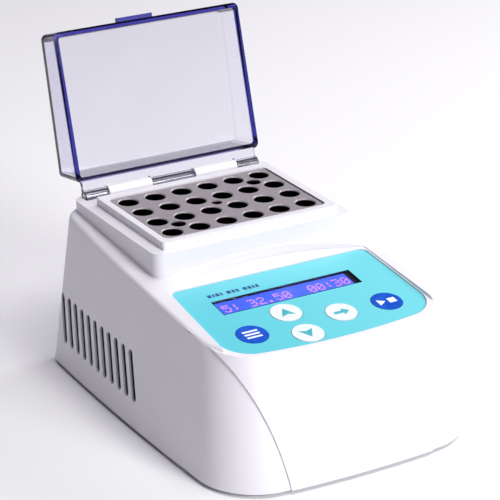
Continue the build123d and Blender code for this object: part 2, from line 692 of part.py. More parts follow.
# ================================================================ base cover, feet and its screws
cover_sections = [body_section(BASE_Z, WALL + COVER_GAP), body_section(COVER_TOP, WALL + COVER_GAP)]
HEAD_SEAT_Z = BASE_Z + M3_HEAD_HEIGHT + SCREW_HOLE_GAP
with BuildPart() as base_cover:
    loft(sections=cover_sections)
    with BuildSketch(Plane.XY.offset(BASE_Z)):
        with Locations(*feet_spots):
            Circle(FOOT_R + FOOT_RECESS_GAP)
    extrude(amount=FOOT_RECESS, mode=Mode.SUBTRACT)
    with BuildSketch(Plane.XY.offset(COVER_TOP)):
        with Locations(*standoff_spots):
            Circle(STANDOFF_R)
    extrude(amount=STANDOFF_HEIGHT)
    with BuildSketch(Plane.XY.offset(BASE_Z)):
        with Locations(*boss_spots):
            Circle(M3_HEAD_R + SCREW_HOLE_GAP)
    extrude(amount=HEAD_SEAT_Z - BASE_Z, mode=Mode.SUBTRACT)
    with BuildSketch(Plane.XY.offset(BASE_Z)):
        with Locations(*boss_spots):
            Circle(M3_R + SCREW_HOLE_GAP)
    extrude(amount=COVER_THICKNESS, mode=Mode.SUBTRACT)
    with BuildSketch(Plane.XY.offset(MAIN_BOARD_Z)):
        with Locations(*standoff_spots):
            Circle(M25_R + PILOT_GAP)
    extrude(amount=-BOARD_SCREW_LENGTH, mode=Mode.SUBTRACT)
save(base_cover.part, "base_cover")

with BuildPart() as rubber_feet:
    with BuildSketch(Plane.XY):
        with Locations(*feet_spots):
            Circle(FOOT_R)
    extrude(amount=BASE_Z + FOOT_RECESS)
save(rubber_feet.part, "rubber_feet")

corner_screws = [
    pan_screw(Plane(origin=(x, y, HEAD_SEAT_Z), x_dir=(1, 0, 0), z_dir=(0, 0, -1)), M3_R,
              CORNER_SCREW_LENGTH, M3_HEAD_R, M3_HEAD_HEIGHT)
    for x, y in boss_spots
]
with BuildPart() as base_screws:
    for screw in corner_screws:
        add(screw)
save(base_screws.part, "base_screws")


# ================================================================ lid, shut, then swung open
def lid_form(inset):
    """The lid's outline as a drafted block under its sloping top, drawn in by the wall."""
    foot_z = LID_RIM_Z - (LID_WALL if inset else 0)
    head_z = LID_RIM_Z + LID_HEIGHT_BACK
    share = (foot_z - LID_RIM_Z) / LID_HEIGHT_BACK
    sections = []
    for height, part in ((foot_z, share), (head_z, 1.0)):
        half = LID_HALF_X - inset - part * LID_SIDE_DRAFT
        front = BLOCK_Y - LID_FRONT + inset + part * LID_SIDE_DRAFT
        back = BLOCK_Y + LID_BACK - inset - part * LID_BACK_DRAFT
        with BuildSketch(Plane.XY.offset(height)) as section:
            with Locations((0, (front + back) / 2)):
                RectangleRounded(2 * half, back - front, LID_CORNER_R - inset / 2)
        sections.append(section.sketch)
    slope = (LID_HEIGHT_BACK - LID_HEIGHT_FRONT) / (LID_FRONT + LID_BACK)
    top = Plane(
        origin=(0, BLOCK_Y - LID_FRONT, LID_RIM_Z + LID_HEIGHT_FRONT - inset),
        x_dir=(1, 0, 0),
        z_dir=(0, -slope, 1),
    )
    with BuildPart() as form:
        loft(sections=sections)
        split(bisect_by=top, keep=Keep.BOTTOM)
        fillet(form.faces().sort_by(Axis.Z)[-1].edges(), LID_TOP_R - inset / 2)
    return form.part


lid_outer = lid_form(0)
lid_inner = lid_form(LID_WALL)
flange_back = HINGE_Y - BARREL_R - KNUCKLE_POCKET_GAP
swung_along = (0, cos(radians(LID_OPEN_ANGLE)), sin(radians(LID_OPEN_ANGLE)))
with BuildPart() as lid:
    # hinge flange, its fingers and the knuckles they carry
    with BuildSketch(Plane.XY.offset(LID_RIM_Z)):
        with Locations((0, (BLOCK_Y + LID_BACK - LID_WALL / 2 + flange_back) / 2)):
            Rectangle(2 * FLANGE_HALF, flange_back - BLOCK_Y - LID_BACK + LID_WALL / 2)
        for start, end in KNUCKLE_SPANS:
            with Locations(((start + end) / 2, (flange_back + HINGE_Y) / 2)):
                Rectangle(end - start, HINGE_Y - flange_back)
    extrude(amount=FLANGE_THICKNESS)
    for start, end in KNUCKLE_SPANS:
        with BuildSketch(Plane.YZ.offset(start)):
            with Locations((HINGE_Y, HINGE_Z)):
                Circle(KNUCKLE_R)
        extrude(amount=end - start)
        heel_plane = Plane(origin=(start, HINGE_Y, HINGE_Z), x_dir=swung_along, z_dir=(1, 0, 0))
        with BuildSketch(heel_plane):
            with Locations((HEEL_REACH / 2, HEEL_GAP - POCKET_R + HEEL_THICKNESS / 2)):
                Rectangle(HEEL_REACH, HEEL_THICKNESS)
        extrude(amount=end - start)
    add(lid_outer)
    add(lid_inner, mode=Mode.SUBTRACT)
    with BuildSketch(Plane.XY.offset(LID_RIM_Z)):
        with Locations((LIP_X, BLOCK_Y - LID_FRONT - LIP_REACH / 2 + LID_WALL / 4)):
            Rectangle(2 * LIP_HALF, LIP_REACH + LID_WALL / 2)
    extrude(amount=LIP_THICKNESS)
    with BuildSketch(Plane.YZ.offset(-KNUCKLE_OUTER_END)):
        with Locations((HINGE_Y, HINGE_Z)):
            Circle(PIN_R + RUNNING_FIT)
    extrude(amount=2 * KNUCKLE_OUTER_END, mode=Mode.SUBTRACT)
open_lid = lid.part.rotate(HINGE_AXIS, -LID_OPEN_ANGLE)
save(open_lid, "lid")

with BuildPart() as hinge_pin:
    with BuildSketch(Plane.YZ.offset(-KNUCKLE_OUTER_END)):
        with Locations((HINGE_Y, HINGE_Z)):
            Circle(PIN_R)
    extrude(amount=2 * KNUCKLE_OUTER_END)
save(hinge_pin.part, "hinge_pin")

# ================================================================ tube block and heater stack
with BuildPart() as heat_block:
    with BuildSketch(Plane.XY.offset(BLOCK_BOTTOM)):
        with Locations((0, BLOCK_Y)):
            RectangleRounded(2 * BLOCK_HALF_X, 2 * BLOCK_HALF_Y, BLOCK_CORNER_R)
    extrude(amount=BLOCK_HEIGHT)
    with BuildSketch(Plane.XZ) as well_profile:
        with BuildLine():
            Polyline(
                (0, BLOCK_TOP),
                (WELL_R + WELL_MOUTH_BEVEL, BLOCK_TOP),
                (WELL_R, BLOCK_TOP - WELL_MOUTH_BEVEL),
                (WELL_R, BLOCK_TOP - WELL_STRAIGHT),
                (WELL_TIP_R, BLOCK_TOP - WELL_DEPTH),
                (0, BLOCK_TOP - WELL_DEPTH),
                (0, BLOCK_TOP),
            )
        make_face()
    well_cutter = revolve(axis=Axis.Z, mode=Mode.PRIVATE)
    with Locations((0, BLOCK_Y, 0)):
        with GridLocations(WELL_PITCH, WELL_PITCH, WELL_COLUMNS, WELL_ROWS):
            add(well_cutter, mode=Mode.SUBTRACT)
    with BuildSketch(Plane.XY.offset(BLOCK_TOP)):
        with Locations((0, BLOCK_Y)):
            Circle(THERMOMETER_R)
    extrude(amount=-THERMOMETER_DEPTH, mode=Mode.SUBTRACT)
    with BuildSketch(Plane.XY.offset(BLOCK_TOP)):
        with Locations(*block_screw_spots):
            Circle(BLOCK_SCREW_HEAD_R)
    extrude(amount=-BLOCK_SCREW_BORE_DEPTH, mode=Mode.SUBTRACT)
    with BuildSketch(Plane.XY.offset(SCREW_SEAT_Z)):
        with Locations(*block_screw_spots):
            Circle(BLOCK_SCREW_R + SCREW_HOLE_GAP)
    extrude(amount=-BLOCK_HEIGHT, mode=Mode.SUBTRACT)
save(heat_block.part, "heat_block")

with BuildPart() as block_screws:
    with BuildSketch(Plane.XY.offset(SCREW_SEAT_Z)):
        with Locations(*block_screw_spots):
            Circle(BLOCK_SCREW_HEAD_R - BLOCK_SCREW_HEAD_GAP)
    extrude(amount=BLOCK_SCREW_HEAD_HEIGHT)
    with BuildSketch(Plane.XY.offset(SCREW_SEAT_Z)):
        with Locations(*block_screw_spots):
            Circle(BLOCK_SCREW_R)
    extrude(amount=-(SCREW_SEAT_Z - BLOCK_BOTTOM + BLOCK_SCREW_BITE))
    with BuildSketch(Plane.XY.offset(SCREW_SEAT_Z + BLOCK_SCREW_HEAD_HEIGHT)):
        with Locations(*block_screw_spots):
            RegularPolygon(BLOCK_SCREW_R, 6)
    extrude(amount=-BLOCK_SCREW_HEAD_HEIGHT / 2, mode=Mode.SUBTRACT)
save(block_screws.part, "block_screws")

sensor_plane = Plane(
    origin=(INSULATION_HALF_X, BLOCK_Y + WELL_PITCH / 2, (BLOCK_BOTTOM + PLATE_BOTTOM) / 2),
    x_dir=(0, 1, 0),
    z_dir=(1, 0, 0),
)
with BuildPart() as heater_plate:
    with BuildSketch(Plane.XY.offset(PLATE_BOTTOM)):
        with Locations((0, BLOCK_Y)):
            RectangleRounded(2 * INSULATION_HALF_X, 2 * INSULATION_HALF_Y, BLOCK_CORNER_R)
        with Locations(*block_screw_spots):
            Circle(BLOCK_SCREW_R + PILOT_GAP, mode=Mode.SUBTRACT)
    extrude(amount=HEATER_PLATE_THICKNESS)
    with BuildSketch(sensor_plane):
        Circle(SENSOR_R + SENSOR_GAP)
    extrude(amount=-SENSOR_LENGTH, mode=Mode.SUBTRACT)
save(heater_plate.part, "heater_plate")

with BuildPart() as temperature_probe:
    with BuildSketch(sensor_plane.offset(-SENSOR_LENGTH + SENSOR_GAP)):
        Circle(SENSOR_R)
    extrude(amount=SENSOR_LENGTH)
save(temperature_probe.part, "temperature_probe")

with BuildPart() as film_heater:
    with BuildSketch(Plane.XY.offset(FILM_BOTTOM)):
        with Locations((0, BLOCK_Y)):
            RectangleRounded(2 * FILM_HALF_X, 2 * FILM_HALF_Y, BLOCK_CORNER_R)
    extrude(amount=HEATER_FILM_THICKNESS)
save(film_heater.part, "film_heater")

with BuildPart() as insulation_pad:
    with BuildSketch(Plane.XY.offset(TRAY_TOP)):
        with Locations((0, BLOCK_Y)):
            Rectangle(2 * FILM_HALF_X, 2 * FILM_HALF_Y)
    extrude(amount=PAD_THICKNESS)
save(insulation_pad.part, "insulation_pad")

with BuildPart() as insulation_collar:
    with BuildSketch(Plane.XY.offset(BLOCK_BOTTOM)):
        with Locations((0, BLOCK_Y)):
            RectangleRounded(2 * INSULATION_HALF_X, 2 * INSULATION_HALF_Y, BLOCK_CORNER_R)
            RectangleRounded(
                2 * (BLOCK_HALF_X + INSULATION_GAP),
                2 * (BLOCK_HALF_Y + INSULATION_GAP),
                BLOCK_CORNER_R,
                mode=Mode.SUBTRACT,
            )
    extrude(amount=DECK_UNDER - INSULATION_HEADROOM - BLOCK_BOTTOM)
save(insulation_collar.part, "insulation_collar")

with BuildPart() as thermal_cutoff:
    with BuildSketch(Plane.XY.offset(PLATE_BOTTOM)):
        with Locations((0, BLOCK_Y + INSULATION_HALF_Y - HEATER_FILM_END_MARGIN / 2)):
            RectangleRounded(CUTOUT_LENGTH, CUTOUT_WIDTH, 1)
    extrude(amount=-CUTOUT_HEIGHT)
save(thermal_cutoff.part, "thermal_cutoff")

with BuildPart() as heater_tray:
    with BuildSketch(Plane.XY.offset(TRAY_BOTTOM)):
        with Locations((0, BLOCK_Y)):
            RectangleRounded(
                2 * (PILLAR_X + PILLAR_R + TRAY_MARGIN), 2 * INSULATION_HALF_Y, BLOCK_CORNER_R
            )
        with Locations(*pillar_spots):
            Circle(M25_R + SCREW_HOLE_GAP, mode=Mode.SUBTRACT)
    extrude(amount=TRAY_THICKNESS)
save(heater_tray.part, "heater_tray")

hanging_screws = [
    pan_screw(Plane(origin=(x, y, TRAY_BOTTOM), x_dir=(1, 0, 0), z_dir=(0, 0, -1)), M25_R,
              BOARD_SCREW_LENGTH, M25_HEAD_R, M25_HEAD_HEIGHT)
    for x, y in pillar_spots
]
with BuildPart() as tray_screws:
    for screw in hanging_screws:
        add(screw)
save(tray_screws.part, "tray_screws")

# ================================================================ control panel
overlay_blank = overlay_sheet(OVERLAY_POCKET, OVERLAY_THICKNESS, OVERLAY_GAP)
with BuildPart() as membrane_overlay:
    add(overlay_blank)
    with BuildSketch(PANEL.offset(-OVERLAY_POCKET)):
        with Locations((WINDOW_X, -WINDOW_FORWARD)):
            Rectangle(WINDOW_LENGTH, WINDOW_WIDTH)
        with Locations(*KEYS.values()):
            Circle(KEY_R + KEY_GAP)
    extrude(amount=OVERLAY_POCKET, mode=Mode.SUBTRACT)
save(membrane_overlay.part, "membrane_overlay")

with BuildPart() as display_window:
    with BuildSketch(PANEL.offset(-OVERLAY_TOP - WINDOW_THICKNESS)):
        with Locations((WINDOW_X, -WINDOW_FORWARD)):
            Rectangle(WINDOW_LENGTH - 2 * OVERLAY_GAP, WINDOW_WIDTH - 2 * OVERLAY_GAP)
    extrude(amount=WINDOW_THICKNESS)
save(display_window.part, "display_window")

with BuildPart() as display_module:
    with BuildSketch(PANEL.offset(-KEYPAD_DEPTH)):
        with Locations((WINDOW_X, -WINDOW_FORWARD)):
            Rectangle(DISPLAY_LENGTH, DISPLAY_WIDTH)
    extrude(amount=KEYPAD_DEPTH - FLOOR_UNDER - DISPLAY_GAP)
    # the glass stands in the opening, just under the window
    glass_depth = OVERLAY_TOP + WINDOW_THICKNESS + DISPLAY_GAP
    glass_inset = WINDOW_LEDGE + DISPLAY_GAP
    with BuildSketch(PANEL.offset(-glass_depth)):
        with Locations((WINDOW_X, -WINDOW_FORWARD)):
            Rectangle(WINDOW_LENGTH - 2 * glass_inset, WINDOW_WIDTH - 2 * glass_inset)
    extrude(amount=-(KEYPAD_DEPTH - glass_depth))
save(display_module.part, "display_module")

for key_name, key_spot in KEYS.items():
    with BuildPart() as key:
        with BuildSketch(PANEL.offset(-FLOOR_UNDER)):
            with Locations(key_spot):
                Circle(KEY_R)
        extrude(amount=FLOOR_UNDER - OVERLAY_TOP + KEY_PROUD)
        with BuildSketch(PANEL.offset(-FLOOR_UNDER)):
            with Locations(key_spot):
                Circle(KEY_R + KEY_GAP + KEY_FLANGE_EXTRA)
        extrude(amount=-KEY_FLANGE_THICKNESS)
        with BuildSketch(PANEL.offset(-FLOOR_UNDER)):
            with Locations(key_spot):
                Circle(KEY_STEM_R)
        extrude(amount=-(KEYPAD_DEPTH - SWITCH_HEIGHT + SWITCH_WELL_DEPTH - KEY_TRAVEL_ROOM - FLOOR_UNDER))
    save(key.part, f"key_{key_name}")

with BuildPart() as keypad_board:
    with BuildSketch(PANEL.offset(-KEYPAD_DEPTH)):
        with Locations((0, (KEYPAD_BACK - KEYPAD_FRONT) / 2)):
            RectangleRounded(2 * KEYPAD_HALF, KEYPAD_BACK + KEYPAD_FRONT, KEYPAD_BOSS_R)
        with Locations(*keypad_spots):
            Circle(M25_R + SCREW_HOLE_GAP, mode=Mode.SUBTRACT)
    extrude(amount=-BOARD_THICKNESS)
save(keypad_board.part, "keypad_board")

with BuildPart() as tact_switches:
    with BuildSketch(PANEL.offset(-KEYPAD_DEPTH)):
        with Locations(*KEYS.values()):
            Rectangle(SWITCH_SIDE, SWITCH_SIDE)
    extrude(amount=SWITCH_HEIGHT)
    with BuildSketch(PANEL.offset(-KEYPAD_DEPTH + SWITCH_HEIGHT)):
        with Locations(*KEYS.values()):
            Circle(KEY_STEM_R + SWITCH_WELL_GAP)
    extrude(amount=-SWITCH_WELL_DEPTH, mode=Mode.SUBTRACT)
save(tact_switches.part, "tact_switches")

under_keypad = Plane(
    origin=PANEL.offset(-KEYPAD_DEPTH - BOARD_THICKNESS).origin, x_dir=(1, 0, 0), z_dir=-PANEL.z_dir
)
panel_screws = [
    pan_screw(spot_plane(under_keypad, x, -y), M25_R, BOARD_SCREW_LENGTH, M25_HEAD_R, M25_HEAD_HEIGHT)
    for x, y in keypad_spots
]
with BuildPart() as keypad_screws:
    for screw in panel_screws:
        add(screw)
save(keypad_screws.part, "keypad_screws")

# ================================================================ main board and what it carries
with BuildPart() as main_board:
    with BuildSketch(Plane.XY.offset(MAIN_BOARD_Z)):
        with Locations((0, MAIN_BOARD_Y)):
            Rectangle(2 * MAIN_BOARD_HALF, MAIN_BOARD_LENGTH)
        with Locations(*standoff_spots):
            Circle(M25_R + SCREW_HOLE_GAP, mode=Mode.SUBTRACT)
    extrude(amount=BOARD_THICKNESS)
save(main_board.part, "main_board")

standing_screws = [
    pan_screw(Plane.XY.offset(MAIN_BOARD_TOP).move(Location((x, y, 0))), M25_R,
              BOARD_SCREW_LENGTH, M25_HEAD_R, M25_HEAD_HEIGHT)
    for x, y in standoff_spots
]
with BuildPart() as main_board_screws:
    for screw in standing_screws:
        add(screw)
save(main_board_screws.part, "main_board_screws")

with BuildPart() as power_heatsink:
    with BuildSketch(Plane.XY.offset(MAIN_BOARD_TOP)):
        with Locations((HEATSINK_X, MAIN_BOARD_Y + HEATSINK_BACK)):
            Rectangle(HEATSINK_LENGTH, HEATSINK_WEB)
            with GridLocations(HEATSINK_FIN_PITCH, 0, HEATSINK_FINS, 1):
                Rectangle(HEATSINK_WEB, HEATSINK_FIN_REACH)
    extrude(amount=HEATSINK_HEIGHT)
save(power_heatsink.part, "power_heatsink")

with BuildPart() as capacitors:
    with BuildSketch(Plane.XY.offset(MAIN_BOARD_TOP)):
        with Locations(*capacitor_spots):
            Circle(CAPACITOR_R)
    extrude(amount=CAPACITOR_HEIGHT)
    fillet(capacitors.faces().group_by(Axis.Z)[-1].edges(), CAPACITOR_EDGE)
save(capacitors.part, "capacitors")

with BuildPart() as terminal_block:
    with BuildSketch(Plane.XY.offset(MAIN_BOARD_TOP)):
        with Locations((0, terminal_y)):
            Rectangle(TERMINAL_PITCH * TERMINAL_WAYS, TERMINAL_DEPTH)
    extrude(amount=TERMINAL_HEIGHT)
    with BuildSketch(terminal_face):
        with GridLocations(TERMINAL_PITCH, 0, TERMINAL_WAYS, 1):
            Circle(TERMINAL_HOLE_R)
    extrude(amount=-TERMINAL_HOLE_DEPTH, mode=Mode.SUBTRACT)
save(terminal_block.part, "terminal_block")

with BuildPart() as controller_chip:
    with BuildSketch(Plane.XY.offset(MAIN_BOARD_TOP)):
        with Locations((CHIP_X, MAIN_BOARD_Y)):
            Rectangle(CHIP_SIDE, CHIP_SIDE)
    extrude(amount=CHIP_HEIGHT)
save(controller_chip.part, "controller_chip")

keypad_header_plane = PANEL.offset(-KEYPAD_DEPTH - BOARD_THICKNESS)
board_header_y = MAIN_BOARD_Y - RIBBON_BOARD_FORWARD
with BuildPart() as ribbon_headers:
    with BuildSketch(keypad_header_plane):
        with Locations((RIBBON_X, RIBBON_PANEL_PLACE)):
            Rectangle(HEADER_WIDTH, HEADER_DEPTH)
    extrude(amount=-HEADER_HEIGHT)
    with BuildSketch(Plane.XY.offset(MAIN_BOARD_TOP)):
        with Locations((RIBBON_X, board_header_y)):
            Rectangle(HEADER_WIDTH, HEADER_DEPTH)
    extrude(amount=HEADER_HEIGHT)
save(ribbon_headers.part, "ribbon_headers")

ribbon_start = keypad_header_plane.from_local_coords((RIBBON_X, RIBBON_PANEL_PLACE, -HEADER_HEIGHT))
ribbon_end = Vector(RIBBON_X, board_header_y, MAIN_BOARD_TOP + HEADER_HEIGHT)
with BuildPart() as ribbon_cable:
    with BuildLine() as ribbon_route:
        Spline(ribbon_start, ribbon_end, tangents=(-PANEL.z_dir, (0, 0, -1)))
    ribbon_plane = Plane(
        origin=ribbon_route.line @ 0, x_dir=(1, 0, 0), z_dir=ribbon_route.line % 0
    )
    with BuildSketch(ribbon_plane):
        Rectangle(RIBBON_WIDTH, RIBBON_THICKNESS)
    sweep(path=ribbon_route.line)
save(ribbon_cable.part, "ribbon_cable")

# ================================================================ rear inlet and power switch
with BuildPart() as dc_inlet:
    with BuildSketch(REAR_PLANE):
        with Locations((-INLET_X, REAR_FITTING_RISE)):
            Circle(INLET_FLANGE_R)
    extrude(amount=INLET_FLANGE_THICKNESS)
    with BuildSketch(REAR_PLANE):
        with Locations((-INLET_X, REAR_FITTING_RISE)):
            Circle(INLET_R)
    extrude(amount=-INLET_DEPTH)
    with BuildSketch(REAR_PLANE.offset(INLET_FLANGE_THICKNESS)):
        with Locations((-INLET_X, REAR_FITTING_RISE)):
            Circle(INLET_BORE_R)
            Circle(INLET_PIN_R, mode=Mode.SUBTRACT)
    extrude(amount=-INLET_BORE_DEPTH, mode=Mode.SUBTRACT)
save(dc_inlet.part, "dc_inlet")

with BuildPart() as inlet_nut:
    with BuildSketch(REAR_PLANE.offset(-WALL)):
        with Locations((-INLET_X, REAR_FITTING_RISE)):
            RegularPolygon(INLET_NUT_R, 6, major_radius=False)
            Circle(INLET_R + PILOT_GAP, mode=Mode.SUBTRACT)
    extrude(amount=-INLET_NUT_THICKNESS)
save(inlet_nut.part, "inlet_nut")

switch_centre = REAR_PLANE.from_local_coords((-SWITCH_X, REAR_FITTING_RISE, -ROCKER_AXLE_DEPTH))
rocker_plane = Plane(origin=switch_centre, x_dir=-REAR_PLANE.y_dir, z_dir=(1, 0, 0))
axle_length = ROCKER_WIDTH + 2 * ROCKER_AXLE_STUB
with BuildPart() as switch_body:
    with BuildSketch(REAR_PLANE):
        with Locations((-SWITCH_X, REAR_FITTING_RISE)):
            RectangleRounded(ROCKER_BEZEL_WIDTH, ROCKER_BEZEL_LENGTH, 1)
    extrude(amount=ROCKER_BEZEL_THICKNESS)
    with BuildSketch(REAR_PLANE):
        with Locations((-SWITCH_X, REAR_FITTING_RISE)):
            Rectangle(ROCKER_BODY_WIDTH, ROCKER_BODY_LENGTH)
    extrude(amount=-ROCKER_BODY_DEPTH)
    with BuildSketch(REAR_PLANE.offset(ROCKER_BEZEL_THICKNESS)):
        with Locations((-SWITCH_X, REAR_FITTING_RISE)):
            Rectangle(ROCKER_WIDTH + 2 * ROCKER_SIDE_GAP, ROCKER_LENGTH + 2 * ROCKER_GAP)
    extrude(
        amount=-(ROCKER_BEZEL_THICKNESS + ROCKER_AXLE_DEPTH + ROCKER_BELLY + ROCKER_GAP),
        mode=Mode.SUBTRACT,
    )
    with BuildSketch(rocker_plane):
        Circle(ROCKER_AXLE_R + RUNNING_FIT)
    extrude(amount=axle_length / 2 + ROCKER_SIDE_GAP, both=True, mode=Mode.SUBTRACT)
save(switch_body.part, "switch_body")

rocker_top = ROCKER_AXLE_DEPTH + ROCKER_BEZEL_THICKNESS + ROCKER_PROUD
with BuildPart() as rocker:
    with BuildSketch(rocker_plane):
        with BuildLine():
            half = ROCKER_LENGTH / 2
            valley = rocker_top - ROCKER_VALLEY
            Polyline((-half, 0), (-half, rocker_top), (0, valley), (half, rocker_top), (half, 0))
            ThreePointArc((half, 0), (0, -ROCKER_BELLY), (-half, 0))
        make_face()
    extrude(amount=ROCKER_WIDTH / 2, both=True)
    with BuildSketch(rocker_plane):
        Circle(ROCKER_AXLE_R)
    extrude(amount=axle_length / 2, both=True)
set_rocker = rocker.part.rotate(Axis(switch_centre, (1, 0, 0)), ROCKER_TILT)
save(set_rocker, "rocker")

blade_spots = [(-SWITCH_X, REAR_FITTING_RISE + side * BLADE_SPACING / 2) for side in (-1, 1)]
with BuildPart() as switch_blades:
    with BuildSketch(REAR_PLANE.offset(-ROCKER_BODY_DEPTH)):
        with Locations(*blade_spots):
            Rectangle(BLADE_WIDTH, BLADE_THICKNESS)
    extrude(amount=-BLADE_LENGTH)
save(switch_blades.part, "switch_blades")

# ================================================================ wires
mouth_y = terminal_back - TERMINAL_HOLE_DEPTH + WIRE_BARE
terminal_mouths = [
    Vector((way - (TERMINAL_WAYS - 1) / 2) * TERMINAL_PITCH, mouth_y, terminal_mouth_z)
    for way in range(TERMINAL_WAYS)
]
inlet_tail = REAR_PLANE.from_local_coords((-INLET_X, REAR_FITTING_RISE, -INLET_DEPTH))
pin_side = Vector(INLET_PIN_R + WIRE_R, 0, 0)
blade_ends = [
    REAR_PLANE.from_local_coords((x, y, -ROCKER_BODY_DEPTH - BLADE_LENGTH)) for x, y in blade_spots
]
film_front = BLOCK_Y - FILM_HALF_Y
film_middle_z = (PLATE_BOTTOM + FILM_BOTTOM) / 2
riser_y = BLOCK_Y - INSULATION_HALF_Y - WIRE_RISER_GAP
first_run = Vector(0, WIRE_FIRST_RUN, 0)
last_run = REAR_PLANE.z_dir * WIRE_LAST_RUN
heater_wires = [
    wire([
        mouth,
        (mouth.X, riser_y, terminal_mouth_z),
        (mouth.X, riser_y, film_middle_z),
        (mouth.X, film_front, film_middle_z),
    ])
    for mouth in terminal_mouths[1:3]
]
with BuildPart() as heater_leads:
    for lead in heater_wires:
        add(lead)
save(heater_leads.part, "heater_leads")

outer_pin = inlet_tail - pin_side
inner_pin = inlet_tail + pin_side
supply_wires = [
    wire([terminal_mouths[0], terminal_mouths[0] + first_run, outer_pin - last_run, outer_pin]),
    wire([terminal_mouths[3], terminal_mouths[3] + first_run, blade_ends[0] - last_run, blade_ends[0]]),
    wire([inner_pin, inner_pin - last_run, blade_ends[1] - last_run, blade_ends[1]]),
]
with BuildPart() as supply_leads:
    for lead in supply_wires:
        add(lead)
save(supply_leads.part, "supply_leads")
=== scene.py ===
# %% [markdown]
# A small dry block heater: a white moulded wedge with an aluminium tube block in its deck, a clear
# hinged lid, a turquoise key panel with a lit display, and the heater and boards inside.
# The model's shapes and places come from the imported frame, so this file adds finishes, lights, a camera
# and the fine pieces that the solid model leaves plain: screw heads, feet, printed marks and the lit
# characters of the display.

# %% Load the frame
import math

import bmesh
import bpy
from mathutils import Matrix, Vector


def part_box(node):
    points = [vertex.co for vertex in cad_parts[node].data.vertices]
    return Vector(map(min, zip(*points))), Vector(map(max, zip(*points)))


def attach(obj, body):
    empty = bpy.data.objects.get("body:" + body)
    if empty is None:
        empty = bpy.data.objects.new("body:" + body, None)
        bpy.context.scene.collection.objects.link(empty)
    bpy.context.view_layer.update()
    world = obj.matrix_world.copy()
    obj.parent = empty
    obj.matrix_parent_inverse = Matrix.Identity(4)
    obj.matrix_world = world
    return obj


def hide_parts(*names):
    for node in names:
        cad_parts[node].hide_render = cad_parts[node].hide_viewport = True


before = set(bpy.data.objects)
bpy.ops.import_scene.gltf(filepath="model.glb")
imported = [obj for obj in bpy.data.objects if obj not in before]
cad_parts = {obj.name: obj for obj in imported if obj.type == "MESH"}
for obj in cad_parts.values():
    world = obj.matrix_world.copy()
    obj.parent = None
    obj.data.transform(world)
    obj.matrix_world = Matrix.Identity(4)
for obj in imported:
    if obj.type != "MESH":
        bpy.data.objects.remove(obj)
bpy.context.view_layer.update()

# %% [markdown]
# Everything on the control panel lies on one sloping plane. It is measured from the tube block's box:
# the panel's datum is 45 mm in front of the block's centre and 15.1 mm below its top. The window, the
# keys, the lid's hinge and the side walls have their places here too, because finishes depend on them.
# The side walls lean in towards the top and bow in towards the front and the back.

# %% Places on the object
MM = 0.001
block_low, block_high = (Vector(corner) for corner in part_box("heat_block"))
block_middle = (block_low + block_high) / 2
PANEL_TILT = math.radians(7.87)
PANEL_ALONG = Vector((0, math.cos(PANEL_TILT), math.sin(PANEL_TILT)))
PANEL_UP = Vector((0, -math.sin(PANEL_TILT), math.cos(PANEL_TILT)))
PANEL_DATUM = Vector((0, block_middle.y - 45 * MM, block_high.z - 15.1 * MM))
KEY_TOP = -0.35 * MM
FILM_TOP = -0.5 * MM
DISPLAY_TOP = -1.6 * MM
WINDOW_X, WINDOW_ALONG = -1.6 * MM, -11.4 * MM
WINDOW_HALF_WIDTH, WINDOW_HALF_HEIGHT = 30.75 * MM, 5.2 * MM
HINGE_Y, HINGE_Z = 70.75 * MM, 69.2 * MM
LID_SWING = math.radians(107)
LID_RIM_LIFT = -0.3 * MM
WALL_HALF_WIDTH = 57.3 * MM
WALL_FOOT_Z = 1.5 * MM
WALL_LEAN = math.radians(6.9)
WALL_MIDDLE_Y = 2.2 * MM
WALL_HALF_LENGTH = 73.5 * MM
WALL_BOW = 2.2 * MM
KEY_SPOTS = {
    "key_program": (-29.6, -32.6),
    "key_up": (-10.0, -24.3),
    "key_down": (-10.0, -40.1),
    "key_right": (9.4, -32.4),
    "key_start": (29.6, -32.6),
}


def on_panel(x, along, lift):
    """A point over the panel: across and along in millimetres, lift in metres."""
    return PANEL_DATUM + Vector((x * MM, 0, 0)) + PANEL_ALONG * along * MM + PANEL_UP * lift


print("panel datum", tuple(round(v, 4) for v in PANEL_DATUM))

# %% [markdown]
# The camera looks down on the front left corner through a long lens, which keeps the object's upright
# lines nearly parallel.

# %% Camera
CAMERA_PLACE = Vector((-0.42854, -0.71488, 0.41003))
CAMERA_TURN = math.radians(30.659)
CAMERA_DIP = math.radians(22.595)
LENS = 168.64
SENSOR_WIDTH = 36
NEAREST = 10 * MM
camera_data = bpy.data.cameras.new("camera")
camera_data.lens = LENS
camera_data.sensor_width = SENSOR_WIDTH
camera_data.clip_start = NEAREST
camera = bpy.data.objects.new("camera", camera_data)
bpy.context.scene.collection.objects.link(camera)
bpy.context.scene.camera = camera
look = Vector(
    (
        math.sin(CAMERA_TURN) * math.cos(CAMERA_DIP),
        math.cos(CAMERA_TURN) * math.cos(CAMERA_DIP),
        -math.sin(CAMERA_DIP),
    )
)
camera.location = CAMERA_PLACE
camera.rotation_mode = "QUATERNION"
camera.rotation_quaternion = look.to_track_quat("-Z", "Y")
print("camera looks along", tuple(round(v, 3) for v in look))

# %% [markdown]
# Finishes are node trees. Writing each Math node by hand is slow to read, so a number that travels
# through nodes is wrapped in a small class that takes Python's operators. Another class holds one
# material, and one of its methods makes any node.


